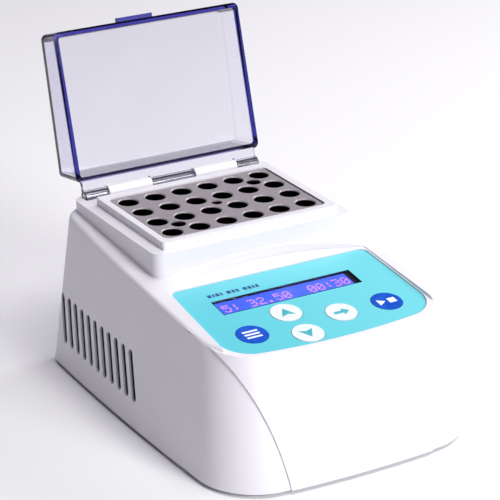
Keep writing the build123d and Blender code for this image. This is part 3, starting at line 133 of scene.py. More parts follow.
# %% Shader tools
class Flow:
    """A socket that Python's operators can work on, each adding one Math node."""

    def __init__(self, finish, socket):
        self.finish = finish
        self.socket = socket

    def maths(self, operation, first, second=0.0):
        return self.finish.node("ShaderNodeMath", {"operation": operation}, {0: first, 1: second})

    def __add__(self, other):
        return self.maths("ADD", self, other)

    def __sub__(self, other):
        return self.maths("SUBTRACT", self, other)

    def __rsub__(self, other):
        return self.maths("SUBTRACT", other, self)

    def __mul__(self, other):
        return self.maths("MULTIPLY", self, other)

    def size(self):
        """The number without its sign."""
        return self.maths("ABSOLUTE", self)

    def step(self, low, high):
        """0 below low, 1 above high, smooth between."""
        return self.finish.node(
            "ShaderNodeMapRange",
            {"interpolation_type": "SMOOTHSTEP"},
            {"Value": self, "From Min": low, "From Max": high},
        )

    def near(self, middle, half, edge):
        """1 within half of a middle, falling to 0 over an edge."""
        return 1.0 - (self - middle).size().step(half, half + edge)


class Finish:
    """A material under construction: one Principled shader and what feeds it."""

    def __init__(self, name, color, roughness, metallic=0.0, **fixed):
        self.material = bpy.data.materials.new(name)
        self.material.use_nodes = True
        self.tree = self.material.node_tree
        self.shader = self.tree.nodes["Principled BSDF"]
        self.fix("Base Color", (*color, 1.0))
        self.fix("Roughness", roughness)
        self.fix("Metallic", metallic)
        for socket, value in fixed.items():
            self.fix(socket.replace("_", " "), value)
        place = self.tree.nodes.new("ShaderNodeTexCoord")
        self.place = Flow(self, place.outputs["Object"])

    def fix(self, socket, value):
        self.shader.inputs[socket].default_value = value

    def feed(self, socket, flow):
        self.tree.links.new(flow.socket, self.shader.inputs[socket])

    def node(self, kind, settings=None, sockets=None, out=0):
        """Any node: its settings first, then the values or links of its sockets."""
        made = self.tree.nodes.new(kind)
        for name, value in (settings or {}).items():
            setattr(made, name, value)
        for name, value in (sockets or {}).items():
            if isinstance(value, Flow):
                self.tree.links.new(value.socket, made.inputs[name])
            else:
                made.inputs[name].default_value = value
        return Flow(self, made.outputs[out])

    def noise(self, size, detail=2.0, roughness=0.5):
        """Soft random blotches of about the given size in metres."""
        return self.node(
            "ShaderNodeTexNoise",
            {},
            {"Vector": self.place, "Scale": 1.0 / size, "Detail": detail, "Roughness": roughness},
        )

    def mix(self, factor, first, second):
        """A blend of two colours."""
        made = self.tree.nodes.new("ShaderNodeMix")
        made.data_type = "RGBA"
        for name, value in (("Factor", factor), ("A", first), ("B", second)):
            socket = [i for i in made.inputs if i.name == name and i.enabled][0]
            if isinstance(value, Flow):
                self.tree.links.new(value.socket, socket)
            else:
                socket.default_value = value if name == "Factor" else (*value, 1.0)
        return Flow(self, [o for o in made.outputs if o.enabled][0])

    def axis(self, letter):
        """One coordinate of the place on the piece, in metres."""
        return self.node("ShaderNodeSeparateXYZ", {}, {0: self.place}, out="XYZ".index(letter))

    def from_datum(self, direction):
        """How far a place lies from the panel's datum in a direction square to X, in metres."""
        back = self.axis("Y") - PANEL_DATUM.y
        up = self.axis("Z") - PANEL_DATUM.z
        return back * direction.y + up * direction.z

    def along_panel(self):
        return self.from_datum(PANEL_ALONG)

    def over_panel(self):
        return self.from_datum(PANEL_UP)

    def relief(self, height, depth, strength=1.0):
        """Bump from a height flow, depth in metres."""
        bump = self.node("ShaderNodeBump", {}, {"Height": height, "Distance": depth, "Strength": strength})
        self.feed("Normal", bump)


def drift(finish, size):
    """A slow random change from 0 to 1 over about the given size."""
    return finish.noise(size, 3.0).step(0.35, 0.65)


def mottle(finish, color, shade, size):
    """Base colour that drifts between two close tones."""
    finish.feed("Base Color", finish.mix(drift(finish, size), color, shade))


print("shader tools ready")

# %% [markdown]
# The housing is moulded ABS: nearly white, satin, with the very fine spark-eroded grain of a mould.
# A flat colour would look like paper, so the tone drifts a little and the grain is a shallow bump.
# The housing is one solid with two places of painted shade. The inner faces of its side walls are painted
# nearly black as shade, so that the vents read as openings: they are found by how far they lie inside the
# bowed and leaning outer wall. The faces round the window's opening are painted black too, as the shade
# inside the opening.

# %% Moulded plastics
PAINTED_SHADE_DEPTH = (0.5 * MM, 1.2 * MM)
PAINTED_SHADE_TOP = (42 * MM, 46 * MM)
PAINTED_SHADE_Y, PAINTED_SHADE_HALF_LENGTH, PAINTED_SHADE_EDGE = 24.8 * MM, 44.7 * MM, 0.8 * MM
WINDOW_SHADE_LIFT = (-1.1 * MM, -1.0 * MM)
SHARP = 0.1 * MM


def window_area(finish, inset):
    """1 inside the display window's outline less an inset, 0 outside it."""
    across = finish.axis("X").near(WINDOW_X, WINDOW_HALF_WIDTH - inset, SHARP)
    return across * finish.along_panel().near(WINDOW_ALONG, WINDOW_HALF_HEIGHT - inset, SHARP)


housing = Finish("moulded white", (0.84, 0.83, 0.875), 0.36, Coat_Weight=0.12, Coat_Roughness=0.2)
shell = housing.mix(drift(housing, 0.03), (0.845, 0.835, 0.88), (0.825, 0.812, 0.866))
shell_x, shell_y, shell_z = (housing.axis(letter) for letter in "XYZ")
from_middle = (shell_y - WALL_MIDDLE_Y) * (1.0 / WALL_HALF_LENGTH)
bow = from_middle * from_middle * WALL_BOW
lean = (shell_z - WALL_FOOT_Z) * math.tan(WALL_LEAN)
wall_depth = WALL_HALF_WIDTH - bow - lean - shell_x.size()
below_top = 1.0 - shell_z.step(*PAINTED_SHADE_TOP)
beside_vents = shell_y.near(PAINTED_SHADE_Y, PAINTED_SHADE_HALF_LENGTH, PAINTED_SHADE_EDGE)
# Painted shade: beside the vents, the inside of the side walls is coloured nearly black.
painted_wall_shade = wall_depth.step(*PAINTED_SHADE_DEPTH) * below_top * beside_vents
# Painted shade: the housing's faces round the display window's opening are coloured black.
painted_window_shade = window_area(housing, 0.0) * (1.0 - housing.over_panel().step(*WINDOW_SHADE_LIFT))
shell_with_painted_shade = housing.mix(painted_wall_shade, shell, (0.03, 0.028, 0.034))
housing.feed("Base Color", housing.mix(painted_window_shade, shell_with_painted_shade, (0.006, 0.006, 0.012)))
housing.feed("Roughness", housing.noise(0.02) * 0.08 + 0.33)
housing.relief(housing.noise(0.00045, 2.0), 0.00002, 0.35)

base_white = Finish("moulded base", (0.7, 0.69, 0.73), 0.55)
mottle(base_white, (0.72, 0.71, 0.75), (0.68, 0.67, 0.71), 0.02)
base_white.relief(base_white.noise(0.0006, 3.0), 0.00004, 0.6)

black = Finish("moulded black", (0.02, 0.02, 0.022), 0.42)
mottle(black, (0.018, 0.018, 0.02), (0.03, 0.03, 0.034), 0.004)
black.relief(black.noise(0.0004, 2.0), 0.00002, 0.5)

rubber = Finish("foot rubber", (0.03, 0.03, 0.032), 0.75)
mottle(rubber, (0.028, 0.028, 0.03), (0.045, 0.044, 0.046), 0.003)
rubber.relief(rubber.noise(0.0003, 3.0), 0.00004, 0.7)

# %% [markdown]
# The tube block is machined aluminium, bead blasted and clear anodised, so it is a dull pale grey with a fine
# sparkle. Everything below its top face, and so the inside of every well, is painted nearly black as shade.
# The plates that nobody sees are milled, and the screws and pins are zinc plated.

# %% Metals
WELL_SHADE = (0.2 * MM, 0.8 * MM)
aluminium = Finish("blasted aluminium", (0.44, 0.4, 0.43), 0.45, 0.3)
speckle = aluminium.noise(0.0006, 4.0, 0.7)
# Painted shade: from just below the block's top face, the wells are coloured nearly black.
painted_well_shade = (block_high.z - aluminium.axis("Z")).step(*WELL_SHADE)
blasted = aluminium.mix(speckle.step(0.3, 0.7), (0.34, 0.3, 0.335), (0.48, 0.44, 0.465))
aluminium.feed("Base Color", aluminium.mix(painted_well_shade, blasted, (0.003, 0.003, 0.004)))
aluminium.feed("Metallic", painted_well_shade * 0.7 + 0.3)
aluminium.feed("Roughness", speckle * 0.2 + 0.34)
aluminium.relief(speckle, 0.00003, 0.5)

plain_aluminium = Finish("milled aluminium", (0.6, 0.6, 0.62), 0.35, 0.9)
mill_marks = plain_aluminium.node(
    "ShaderNodeTexWave",
    {"wave_type": "BANDS", "bands_direction": "X"},
    {"Vector": plain_aluminium.place, "Scale": 300.0, "Distortion": 1.5},
)
plain_aluminium.feed("Base Color", plain_aluminium.mix(mill_marks, (0.56, 0.56, 0.58), (0.66, 0.66, 0.68)))
plain_aluminium.relief(mill_marks, 0.00001, 0.4)

zinc = Finish("bright zinc", (0.6, 0.6, 0.62), 0.3, 1.0)
mottle(zinc, (0.55, 0.55, 0.58), (0.68, 0.68, 0.69), 0.002)
zinc.relief(zinc.noise(0.0005), 0.00001, 0.4)

brass = Finish("stamped brass", (0.75, 0.55, 0.22), 0.32, 1.0)
mottle(brass, (0.72, 0.52, 0.2), (0.8, 0.62, 0.3), 0.002)

# %% [markdown]
# The panel is a printed film. Its turquoise is even under a satin hard coat, with painted light that makes it
# a touch lighter to the right. The keys are printed discs of the same film. The display shines blue behind a
# clear window, on its top face only, and its last few millimetres at the right are painted dark as the shadow
# of the window's right wall.

# %% Panel finishes
FILM_HALF_WIDTH = 45 * MM
PAINTED_SHADOW_X = (26.2 * MM, 26.6 * MM)
LIT_LIFT = (-1.8 * MM, -1.7 * MM)
film = Finish("turquoise film", (0.13, 0.6, 0.7), 0.32, Coat_Weight=0.25, Coat_Roughness=0.25)
# Painted light: the film's turquoise grows lighter towards the right.
painted_light_to_right = film.axis("X").step(-FILM_HALF_WIDTH, FILM_HALF_WIDTH)
turquoise = film.mix(painted_light_to_right, (0.115, 0.6, 0.7), (0.17, 0.68, 0.76))
film.feed("Base Color", film.mix(film.noise(0.0008) * 0.15, turquoise, (0.2, 0.72, 0.8)))
film.relief(film.noise(0.0003), 0.000008, 0.5)

blue_key = Finish("blue key", (0.0, 0.075, 0.55), 0.3, Coat_Weight=0.2)
mottle(blue_key, (0.0, 0.07, 0.53), (0.005, 0.1, 0.62), 0.003)
blue_key.relief(blue_key.noise(0.0003), 0.000008, 0.5)

white_key = Finish("white key", (0.84, 0.88, 0.9), 0.3, Coat_Weight=0.2)
mottle(white_key, (0.85, 0.885, 0.905), (0.8, 0.85, 0.88), 0.003)
white_key.relief(white_key.noise(0.0003), 0.000008, 0.5)

white_ink = Finish("white ink", (0.9, 0.92, 0.95), 0.4)
mottle(white_ink, (0.92, 0.94, 0.96), (0.85, 0.88, 0.92), 0.001)
navy_ink = Finish("navy ink", (0.005, 0.06, 0.25), 0.4)
mottle(navy_ink, (0.004, 0.05, 0.22), (0.008, 0.08, 0.3), 0.001)
turquoise_ink = Finish("turquoise ink", (0.05, 0.42, 0.5), 0.4)
mottle(turquoise_ink, (0.045, 0.4, 0.48), (0.08, 0.48, 0.55), 0.001)

display = Finish("lit display", (0.02, 0.05, 0.4), 0.3, Emission_Strength=1.0)
glow = display.noise(0.012, 1.0).step(0.3, 0.7)
# Painted shadow: the display's last few millimetres at the right are dark and unlit.
lit_area_less_painted_shadow = (1.0 - display.axis("X").step(*PAINTED_SHADOW_X)) * display.over_panel().step(*LIT_LIFT)
shine = display.mix(glow, (0.05, 0.12, 0.8), (0.09, 0.17, 0.85))
display.feed("Emission Color", display.mix(lit_area_less_painted_shadow, (0.001, 0.001, 0.006), shine))
display.feed("Base Color", display.mix(lit_area_less_painted_shadow, (0.004, 0.004, 0.012), (0.025, 0.05, 0.4)))
lit_dot = Finish("lit dot", (0.5, 0.2, 0.8), 0.4, Emission_Strength=1.0)
lit_dot.feed("Emission Color", lit_dot.mix(lit_dot.noise(0.006), (0.5, 0.16, 0.8), (0.75, 0.3, 0.9)))

# %% [markdown]
# The lid and the display window are clear plastic. Light that runs through the wall edgewise comes out
# blue-violet, so the lid's edges are far darker than its faces. A dye in the volume does that wherever a ray
# stays long in a wall. The rim is painted deeper still, a painted shade for the dark edge that refraction
# shows there. It is found by the height over the rim of the shut lid, worked out from the open lid's own
# coordinates, so the painted shade moves with the lid. The window has a narrow black border printed on it.

# %% Clear plastics
PAINTED_RIM_FADE = (LID_RIM_LIFT + 0.4 * MM, LID_RIM_LIFT + 1.1 * MM)
HINGE_FADE = (6 * MM, 8 * MM)
WINDOW_BORDER = 0.5 * MM
clear_lid = Finish("clear lid", (0.97, 0.97, 1.0), 0.04, IOR=1.46, Transmission_Weight=1.0)
haze = clear_lid.noise(0.02, 2.0).step(0.3, 0.7)
pale_face = clear_lid.mix(haze, (0.985, 0.985, 1.0), (0.965, 0.965, 0.99))
before_hinge = HINGE_Y - clear_lid.axis("Y")
over_hinge = clear_lid.axis("Z") - HINGE_Z
shut_lift = before_hinge * -math.sin(LID_SWING) + over_hinge * math.cos(LID_SWING)
shut_reach = before_hinge * math.cos(LID_SWING) + over_hinge * math.sin(LID_SWING)
# Painted shade: the lid's rim is coloured deep navy.
painted_rim_shade = (1.0 - shut_lift.step(*PAINTED_RIM_FADE)) * shut_reach.step(*HINGE_FADE)
clear_lid.feed("Base Color", clear_lid.mix(painted_rim_shade, pale_face, (0.012, 0.014, 0.25)))
clear_lid.relief(clear_lid.noise(0.03, 1.0), 0.0001, 0.15)
dye = clear_lid.tree.nodes.new("ShaderNodeVolumeAbsorption")
dye.inputs["Color"].default_value = (0.4, 0.3, 0.76, 1.0)
dye.inputs["Density"].default_value = 62.0
clear_lid.tree.links.new(dye.outputs["Volume"], clear_lid.tree.nodes["Material Output"].inputs["Volume"])

clear_window = Finish("clear window", (0.92, 0.95, 1.0), 0.04, IOR=1.3, Transmission_Weight=1.0)
clear_window.relief(clear_window.noise(0.01, 1.0), 0.00001, 0.1)
pane = clear_window.mix(clear_window.noise(0.01), (0.96, 0.975, 1.0), (0.93, 0.955, 1.0))
seen_through = window_area(clear_window, WINDOW_BORDER)
clear_window.feed("Base Color", clear_window.mix(seen_through, (0.004, 0.004, 0.01), pane))

# %% [markdown]
# The pieces inside show through the vents, the wells and from below with the cover off: circuit boards,
# felt insulation, the red silicone heater, wires and a grey ribbon.

# %% Inner finishes
board = Finish("green board", (0.015, 0.16, 0.06), 0.35, Coat_Weight=0.3)
tracks = board.node(
    "ShaderNodeTexVoronoi", {"feature": "DISTANCE_TO_EDGE"}, {"Vector": board.place, "Scale": 260.0}
)
board.feed("Base Color", board.mix(tracks.step(0.02, 0.08), (0.03, 0.3, 0.12), (0.012, 0.14, 0.05)))
board.relief(tracks.step(0.02, 0.08), 0.00003, 0.4)

felt = Finish("pale felt", (0.7, 0.67, 0.6), 0.95, Sheen_Weight=0.4)
mottle(felt, (0.72, 0.69, 0.62), (0.62, 0.59, 0.53), 0.0015)
felt.relief(felt.noise(0.0005, 5.0, 0.8), 0.0003, 0.8)

silicone = Finish("red silicone", (0.42, 0.06, 0.03), 0.55)
weave = silicone.node(
    "ShaderNodeTexWave", {"wave_type": "BANDS", "bands_direction": "DIAGONAL"},
    {"Vector": silicone.place, "Scale": 700.0},
)
silicone.feed("Base Color", silicone.mix(weave, (0.4, 0.05, 0.025), (0.5, 0.09, 0.05)))
silicone.relief(weave, 0.00005, 0.5)

lead_red = Finish("red lead", (0.5, 0.02, 0.015), 0.4)
mottle(lead_red, (0.5, 0.02, 0.015), (0.6, 0.04, 0.03), 0.002)
ribbon_grey = Finish("grey ribbon", (0.36, 0.36, 0.38), 0.5)
strands = ribbon_grey.node(
    "ShaderNodeTexWave", {"wave_type": "BANDS", "bands_direction": "X"},
    {"Vector": ribbon_grey.place, "Scale": 250.0},
)
ribbon_grey.feed("Base Color", ribbon_grey.mix(strands, (0.28, 0.28, 0.3), (0.42, 0.42, 0.44)))
ribbon_grey.relief(strands, 0.0001, 0.6)
sleeve = Finish("capacitor sleeve", (0.012, 0.02, 0.07), 0.3, Coat_Weight=0.3)
mottle(sleeve, (0.012, 0.02, 0.07), (0.02, 0.035, 0.1), 0.003)
terminal_green = Finish("terminal green", (0.015, 0.2, 0.06), 0.45)
mottle(terminal_green, (0.015, 0.2, 0.06), (0.03, 0.26, 0.09), 0.003)
print("finishes", len(bpy.data.materials))

# %% [markdown]
# Each solid that already has its true shape keeps it and takes its finish by name. The feet and the
# four sets of pan head screws aren't listed, because made pieces further down stand in for them.

# %% Finishes onto the solid pieces
WORN_BY = {
    housing: ["upper_housing"],
    base_white: ["base_cover"],
    clear_lid: ["lid"],
    zinc: ["hinge_pin", "block_screws", "temperature_probe", "inlet_nut", "heater_tray"],
    aluminium: ["heat_block"],
    plain_aluminium: ["heater_plate", "power_heatsink"],
    silicone: ["film_heater"],
    felt: ["insulation_pad", "insulation_collar"],
    black: ["thermal_cutoff", "tact_switches", "controller_chip", "ribbon_headers", "dc_inlet",
            "switch_body", "rocker"],
    film: ["membrane_overlay"],
    clear_window: ["display_window"],
    display: ["display_module"],
    blue_key: ["key_program", "key_start"],
    white_key: ["key_up", "key_down", "key_right"],
    board: ["keypad_board", "main_board"],
    sleeve: ["capacitors"],
    terminal_green: ["terminal_block"],
    ribbon_grey: ["ribbon_cable"],
    brass: ["switch_blades"],
    lead_red: ["heater_leads", "supply_leads"],
}
for finish, names in WORN_BY.items():
    for name in names:
        piece = bpy.data.objects[name]
        for place in piece.material_slots:
            place.material = finish.material
print("dressed", sum(len(names) for names in WORN_BY.values()), "solids")

# %% [markdown]
# Screws, feet and the display's dots repeat one small shape at many places. A Geometry Nodes tree puts
# one made shape on every point of a mesh, turns it, and gives it its material. The result is baked to a
# plain mesh, which is then tied to its body like any other piece.


# %% Helpers for made pieces
def mesh_object(name, mesh):
    made = bpy.data.objects.new(name, mesh)
    bpy.context.scene.collection.objects.link(made)
    return made


def tidy_mesh(shape, name):
    """A bmesh as a mesh, with doubles merged and faces turned outwards."""
    bmesh.ops.remove_doubles(shape, verts=shape.verts, dist=1e-7)
    bmesh.ops.recalc_face_normals(shape, faces=shape.faces)
    mesh = bpy.data.meshes.new(name)
    shape.to_mesh(mesh)
    shape.free()
    return mesh


def lathe(profile, turns, name):
    """A closed shape of revolution about Z from (radius, height) pairs that start and end on the axis."""
    shape = bmesh.new()
    rings = []
    for radius, height in profile:
        ring = []
        for k in range(turns if radius else 1):
            angle = 2 * math.pi * k / turns
            ring.append(shape.verts.new((radius * math.cos(angle), radius * math.sin(angle), height)))
        rings.append(ring)
    for low, high in zip(rings, rings[1:]):
        for k in range(turns):
            following = k + 1
            loop = [
                low[k % len(low)], low[following % len(low)],
                high[following % len(high)], high[k % len(high)],
            ]
            shape.faces.new(list(dict.fromkeys(loop)))
    return tidy_mesh(shape, name)


def repeat_tree():
    """Nodes that set a shape on every point, turn it and give it a material."""
    tree = bpy.data.node_groups.new("set on points", "GeometryNodeTree")
    for name, kind in (
        ("Points", "Geometry"), ("Shape", "Object"), ("Turn", "Vector"),
        ("Turn jitter", "Float"), ("Seed", "Int"), ("Material", "Material"),
    ):
        tree.interface.new_socket(name, in_out="INPUT", socket_type="NodeSocket" + kind)
    tree.interface.new_socket("Geometry", in_out="OUTPUT", socket_type="NodeSocketGeometry")
    start = tree.nodes.new("NodeGroupInput")
    end = tree.nodes.new("NodeGroupOutput")
    shape = tree.nodes.new("GeometryNodeObjectInfo")
    place = tree.nodes.new("GeometryNodeInstanceOnPoints")
    spin = tree.nodes.new("GeometryNodeRotateInstances")
    chance = tree.nodes.new("FunctionNodeRandomValue")
    chance.data_type = "FLOAT"
    about = tree.nodes.new("ShaderNodeCombineXYZ")
    real = tree.nodes.new("GeometryNodeRealizeInstances")
    dress = tree.nodes.new("GeometryNodeSetMaterial")
    # A Random Value node has sockets for each type. Input 3 is the float's upper end, output 1 its result.
    link = tree.links.new
    link(start.outputs["Points"], place.inputs["Points"])
    link(start.outputs["Shape"], shape.inputs["Object"])
    link(shape.outputs["Geometry"], place.inputs["Instance"])
    link(start.outputs["Turn"], place.inputs["Rotation"])
    link(start.outputs["Turn jitter"], chance.inputs[3])
    link(start.outputs["Seed"], chance.inputs["Seed"])
    link(chance.outputs[1], about.inputs["Z"])
    link(place.outputs["Instances"], spin.inputs["Instances"])
    link(about.outputs["Vector"], spin.inputs["Rotation"])
    link(spin.outputs["Instances"], real.inputs["Geometry"])
    link(real.outputs["Geometry"], dress.inputs["Geometry"])
    link(start.outputs["Material"], dress.inputs["Material"])
    link(dress.outputs["Geometry"], end.inputs["Geometry"])
    return tree


REPEAT = repeat_tree()


def repeated(name, points, shape_mesh, finish, turn=(0, 0, 0), jitter=0.0, seed=1):
    """One mesh piece with the shape on every point."""
    cloud = bpy.data.meshes.new(name + " points")
    cloud.from_pydata([tuple(p) for p in points], [], [])
    holder = mesh_object(name + " holder", cloud)
    shape = mesh_object(name + " shape", shape_mesh)
    nodes = holder.modifiers.new("repeat", "NODES")
    nodes.node_group = REPEAT
    given = {"Shape": shape, "Turn": turn, "Turn jitter": jitter, "Seed": seed, "Material": finish.material}
    for item in REPEAT.interface.items_tree:
        if item.in_out == "INPUT" and item.name in given:
            nodes[item.identifier] = given[item.name]
    bpy.context.view_layer.update()
    seen = holder.evaluated_get(bpy.context.evaluated_depsgraph_get())
    mesh = bpy.data.meshes.new_from_object(seen)
    mesh.name = name
    bpy.data.objects.remove(holder)
    bpy.data.objects.remove(shape)
    piece = mesh_object(name, mesh)
    print(name, len(points), "places", len(mesh.polygons), "faces")
    return piece


def loose_parts(node):
    """The lowest and highest corner of each separate solid in a node."""
    shape = bmesh.new()
    shape.from_mesh(bpy.data.objects[node].data)
    bmesh.ops.remove_doubles(shape, verts=shape.verts, dist=1e-6)
    shape.verts.ensure_lookup_table()
    seen = set()
    boxes = []
    for first in shape.verts:
        if first in seen:
            continue
        group = [first]
        seen.add(first)
        for vert in group:
            for edge in vert.link_edges:
                other = edge.other_vert(vert)
                if other not in seen:
                    seen.add(other)
                    group.append(other)
        low = Vector([min(v.co[i] for v in group) for i in range(3)])
        high = Vector([max(v.co[i] for v in group) for i in range(3)])
        boxes.append((low, high))
    shape.free()
    return boxes


def finish_piece(piece, body, slot, *nodes):
    """Tie a made piece to its body and hide the solids it stands for. The slot is not used."""
    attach(piece, body)
    if nodes:
        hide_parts(*nodes)


# %% [markdown]
# The rubber feet are pressed into round seats in the base cover. A turned profile gives the soft outer
# edge and the shallow dish that grips the bench. It is turned in forty flats.

# %% Feet
FOOT_TURNS = 40
DISH = 0.4 * MM
foot_boxes = loose_parts("rubber_feet")
foot_low, foot_high = foot_boxes[0]
foot_r = (foot_high.x - foot_low.x) / 2
foot_h = foot_high.z - foot_low.z
foot_profile = [
    (0, DISH), (foot_r * 0.6, DISH), (foot_r * 0.68, 0), (foot_r * 0.9, 0), (foot_r * 0.97, 0.18 * MM),
    (foot_r, 0.6 * MM), (foot_r, foot_h), (0, foot_h),
]
foot_points = [Vector(((low.x + high.x) / 2, (low.y + high.y) / 2, low.z)) for low, high in foot_boxes]
feet = repeated("feet", foot_points, lathe(foot_profile, FOOT_TURNS, "foot"), rubber)
finish_piece(feet, "base", "foot_rubber", "rubber_feet")

# %% [markdown]
# The screws of the case, the tray and the boards are pan heads with a cross recess. The head is a turned
# dome, and the cross is cut into it by a Boolean with two crossed bars. The slots don't line up on real
# screws, so each head is turned by a seeded random angle.

# %% Screws
SCREW_TURNS = 28
CROSS_LENGTH, CROSS_WIDTH, CROSS_DEPTH = 1.1, 0.24, 1.1
MOST_TURN = 1.5


def screw_mesh(head_r, head_h, shank_r, length, name):
    """A cross-recessed pan head that stands on Z = 0, with its shank below."""
    dome = [
        (0, -length), (shank_r * 0.7, -length), (shank_r, -length + shank_r * 0.4), (shank_r, 0), (head_r, 0),
        (head_r, head_h * 0.45), (head_r * 0.9, head_h * 0.78), (head_r * 0.6, head_h * 0.96), (0, head_h),
    ]
    head = mesh_object(name, lathe(dome, SCREW_TURNS, name))
    bars = bmesh.new()
    for across, along in ((CROSS_LENGTH, CROSS_WIDTH), (CROSS_WIDTH, CROSS_LENGTH)):
        size = Matrix.Diagonal((head_r * across, head_r * along, head_h * CROSS_DEPTH, 1))
        bmesh.ops.create_cube(bars, size=1.0, matrix=Matrix.Translation((0, 0, head_h)) @ size)
    cutter = mesh_object(name + " cross", tidy_mesh(bars, name + " cross"))
    cut = head.modifiers.new("cross", "BOOLEAN")
    cut.operation = "DIFFERENCE"
    cut.solver = "EXACT"
    cut.use_self = True
    cut.object = cutter
    bpy.context.view_layer.update()
    seen = head.evaluated_get(bpy.context.evaluated_depsgraph_get())
    mesh = bpy.data.meshes.new_from_object(seen)
    bpy.data.objects.remove(head)
    bpy.data.objects.remove(cutter)
    return mesh


def screws(name, node, seats, turn, head_r, head_h, shank_r, length, seed):
    """All screws of one node, set on their seats and tied to the base."""
    one = screw_mesh(head_r, head_h, shank_r, length, name + " one")
    piece = repeated(name, seats, one, zinc, turn, MOST_TURN, seed)
    finish_piece(piece, "base", "screw_steel", node)


# Head radius, head height, shank radius and shank length.
M3 = (2.75 * MM, 1.6 * MM, 1.5 * MM, 10 * MM)
M25 = (2.3 * MM, 1.5 * MM, 1.25 * MM, 5 * MM)
HEAD_UP = (0, 0, 0)
HEAD_DOWN = (math.pi, 0, 0)
HEAD_UNDER_PANEL = (math.pi + PANEL_TILT, 0, 0)


def seats_of(node, head_h, down):
    """Where the head of each screw that stands upright or upside down meets its seat."""
    return [
        Vector(((low.x + high.x) / 2, (low.y + high.y) / 2, low.z + head_h if down else high.z - head_h))
        for low, high in loose_parts(node)
    ]


base_seats = seats_of("base_screws", M3[1], True)
tray_seats = seats_of("tray_screws", M25[1], True)
board_seats = seats_of("main_board_screws", M25[1], False)
KEYPAD_UNDER = -10.1 * MM
KEYPAD_SCREW_X = (-36.6, 36.6)
KEYPAD_SCREW_ALONG = (-0.5, -42.0)
keypad_seats = [on_panel(x, along, KEYPAD_UNDER) for x in KEYPAD_SCREW_X for along in KEYPAD_SCREW_ALONG]
screws("base_screw_heads", "base_screws", base_seats, HEAD_DOWN, *M3, 3)
screws("tray_screw_heads", "tray_screws", tray_seats, HEAD_DOWN, *M25, 5)
screws("board_screw_heads", "main_board_screws", board_seats, HEAD_UP, *M25, 7)
screws("keypad_screw_heads", "keypad_screws", keypad_seats, HEAD_UNDER_PANEL, *M25, 9)

# %% [markdown]
# The printed marks are thin plates of ink: an outline is extruded a few hundredths of a millimetre off
# the film. Three keys carry arrows, and the two blue ones a plain list and a start and stop sign. A row
# of short navy bars over the display stands for its heading. It spells nothing.

# %% Printed marks
INK = 0.04 * MM


def ink_plates(name, outlines, lift, finish, body):
    """Thin raised plates on the panel from closed outlines in panel millimetres."""
    shape = bmesh.new()
    for outline in outlines:
        under = [shape.verts.new(on_panel(x, along, lift)) for x, along in outline]
        top = [shape.verts.new(on_panel(x, along, lift + INK)) for x, along in outline]
        shape.faces.new(under)
        shape.faces.new(top)
        for k in range(len(outline)):
            following = (k + 1) % len(outline)
            shape.faces.new([under[k], under[following], top[following], top[k]])
    mesh = tidy_mesh(shape, name)
    mesh.materials.append(finish.material)
    piece = mesh_object(name, mesh)
    finish_piece(piece, body, "overlay_film" if body == "base" else "key_blue")


def bar(x, along, width, height):
    """A rectangle's outline round its middle."""
    return [
        (x - width / 2, along - height / 2), (x + width / 2, along - height / 2),
        (x + width / 2, along + height / 2), (x - width / 2, along + height / 2),
    ]


def moved(outline, spot):
    return [(x + spot[0], along + spot[1]) for x, along in outline]


ARROW_UP = [(-3.0, -2.3), (0, -1.3), (3.0, -2.3), (0, 3.0)]
ARROW_DOWN = [(x, -along) for x, along in ARROW_UP][::-1]
ARROW_RIGHT = [(-3.2, -0.8), (0.6, -0.8), (0.6, -2.2), (3.4, 0), (0.6, 2.2), (0.6, 0.8), (-3.2, 0.8)]
LIST = [bar(0, 2.0, 6.4, 1.0), bar(0, 0, 6.4, 1.0), bar(0, -2.0, 6.4, 1.0)]
START_STOP = [[(-3.8, -2.0), (-0.6, 0), (-3.8, 2.0)], bar(2.3, 0, 3.2, 3.2)]
for key, outlines, finish in (
    ("key_up", [ARROW_UP], turquoise_ink),
    ("key_down", [ARROW_DOWN], turquoise_ink),
    ("key_right", [ARROW_RIGHT], turquoise_ink),
    ("key_program", LIST, white_ink),
    ("key_start", START_STOP, white_ink),
):
    placed = [moved(outline, KEY_SPOTS[key]) for outline in outlines]
    ink_plates(key + "_mark", placed, KEY_TOP, finish, key)

HEADING_START, HEADING_ALONG, HEADING_HEIGHT = -31.5, -2.6, 1.9
BAR_GAP, GROUP_GAP = 0.55, 1.3
HEADING_GROUPS = ((1.6, 0.8, 1.6, 0.8), (1.8, 1.2, 1.2), (1.6, 1.4, 0.9, 1.2))
heading_bars = []
heading_x = HEADING_START
for group in HEADING_GROUPS:
    for width in group:
        heading_bars.append(bar(heading_x + width / 2, HEADING_ALONG, width, HEADING_HEIGHT))
        heading_x += width + BAR_GAP
    heading_x += GROUP_GAP
ink_plates("panel_mark", heading_bars, FILM_TOP, navy_ink, "base")

# %% [markdown]
# The display is a dot matrix. Each character is drawn on a grid five dots wide and seven high, and one
# thin plate is set on every lit dot.

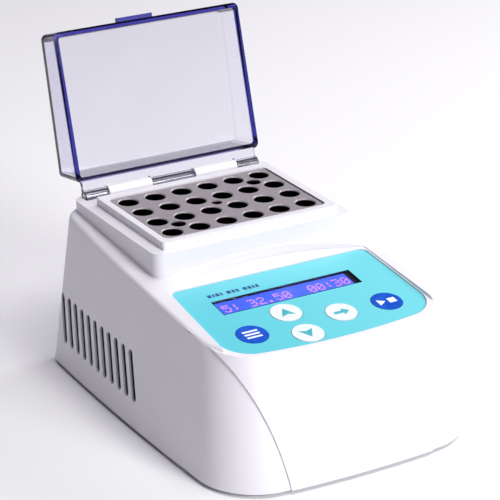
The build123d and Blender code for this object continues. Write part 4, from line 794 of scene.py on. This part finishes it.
# %% Lit characters
GLYPHS = {
    "0": "01110 10001 10011 10101 11001 10001 01110",
    "2": "01110 10001 00001 00110 01000 10000 11111",
    "3": "11110 00001 00001 01110 00001 00001 11110",
    "5": "11111 10000 11110 00001 00001 10001 01110",
    ":": "00000 00100 00100 00000 00100 00100 00000",
    ".": "00000 00000 00000 00000 00000 01100 01100",
    " ": "00000 00000 00000 00000 00000 00000 00000",
}
READOUT = "5: 32.50  00:30"
LAST_ROW = 6
TEXT_INSET, TEXT_FOOT = 2.4, -14.2
LETTER_PITCH, COLUMN_PITCH, ROW_PITCH = 3.75, 0.62, 0.72
DOT_WIDTH, DOT_HEIGHT, DOT_THICKNESS = 0.56 * MM, 0.64 * MM, 0.04 * MM
window_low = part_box("display_window")[0]
text_start = window_low[0] / MM + TEXT_INSET
dots = []
for place, letter in enumerate(READOUT):
    for row, line in enumerate(GLYPHS[letter].split()):
        for column, state in enumerate(line):
            if state == "1":
                x = text_start + place * LETTER_PITCH + column * COLUMN_PITCH
                dots.append(on_panel(x, TEXT_FOOT + (LAST_ROW - row) * ROW_PITCH, DISPLAY_TOP))
plate = bmesh.new()
bmesh.ops.create_cube(plate, size=1.0, matrix=Matrix.Diagonal((DOT_WIDTH, DOT_HEIGHT, DOT_THICKNESS, 1)))
bmesh.ops.translate(plate, verts=plate.verts, vec=(0, 0, DOT_THICKNESS / 2))
characters = repeated("display_characters", dots, tidy_mesh(plate, "dot"), lit_dot, (PANEL_TILT, 0, 0))
finish_piece(characters, "base", "display_face")

# %% [markdown]
# A pale floor and three broad soft lamps. The brightest stands in front, one hangs overhead and one
# stands to the right, so the top and the front are nearly white. The left side has no lamp of its own
# and falls into a mauve half shade, with a dim violet sky to tint it.

# %% Floor, lamps and sky
FLOOR_SIZE = 6.0
FLOOR_SQUARES = 8
floor_shape = bmesh.new()
bmesh.ops.create_grid(floor_shape, x_segments=FLOOR_SQUARES, y_segments=FLOOR_SQUARES, size=FLOOR_SIZE)
floor = mesh_object("floor", tidy_mesh(floor_shape, "floor"))
pale = Finish("pale floor", (0.93, 0.93, 0.94), 0.7)
mottle(pale, (0.93, 0.93, 0.945), (0.915, 0.915, 0.93), 0.5)
floor.data.materials.append(pale.material)


LAMP_AIM = Vector((0, 0, 0.05))


def lamp(name, place, size, power, color):
    """A round area lamp that faces the middle of the object: size in metres, power in watts."""
    data = bpy.data.lights.new(name, "AREA")
    data.shape = "DISK"
    data.size = size
    data.energy = power
    data.color = color
    made = bpy.data.objects.new(name, data)
    bpy.context.scene.collection.objects.link(made)
    made.location = place
    made.rotation_mode = "QUATERNION"
    made.rotation_quaternion = (LAMP_AIM - Vector(place)).to_track_quat("-Z", "Y")


lamp("right lamp", (1.1, 0.2, 0.8), 0.5, 7, (1.0, 0.99, 1.0))
lamp("front lamp", (0.3, -1.25, 0.6), 0.6, 14, (1.0, 0.99, 1.0))
lamp("top lamp", (0.12, -0.05, 1.4), 0.7, 11, (1.0, 1.0, 1.0))
sky = bpy.data.worlds.new("sky")
sky.use_nodes = True
backdrop = sky.node_tree.nodes["Background"]
backdrop.inputs["Color"].default_value = (0.9, 0.78, 1.0, 1)
backdrop.inputs["Strength"].default_value = 0.12
bpy.context.scene.world = sky
bpy.context.scene.view_settings.view_transform = "Standard"
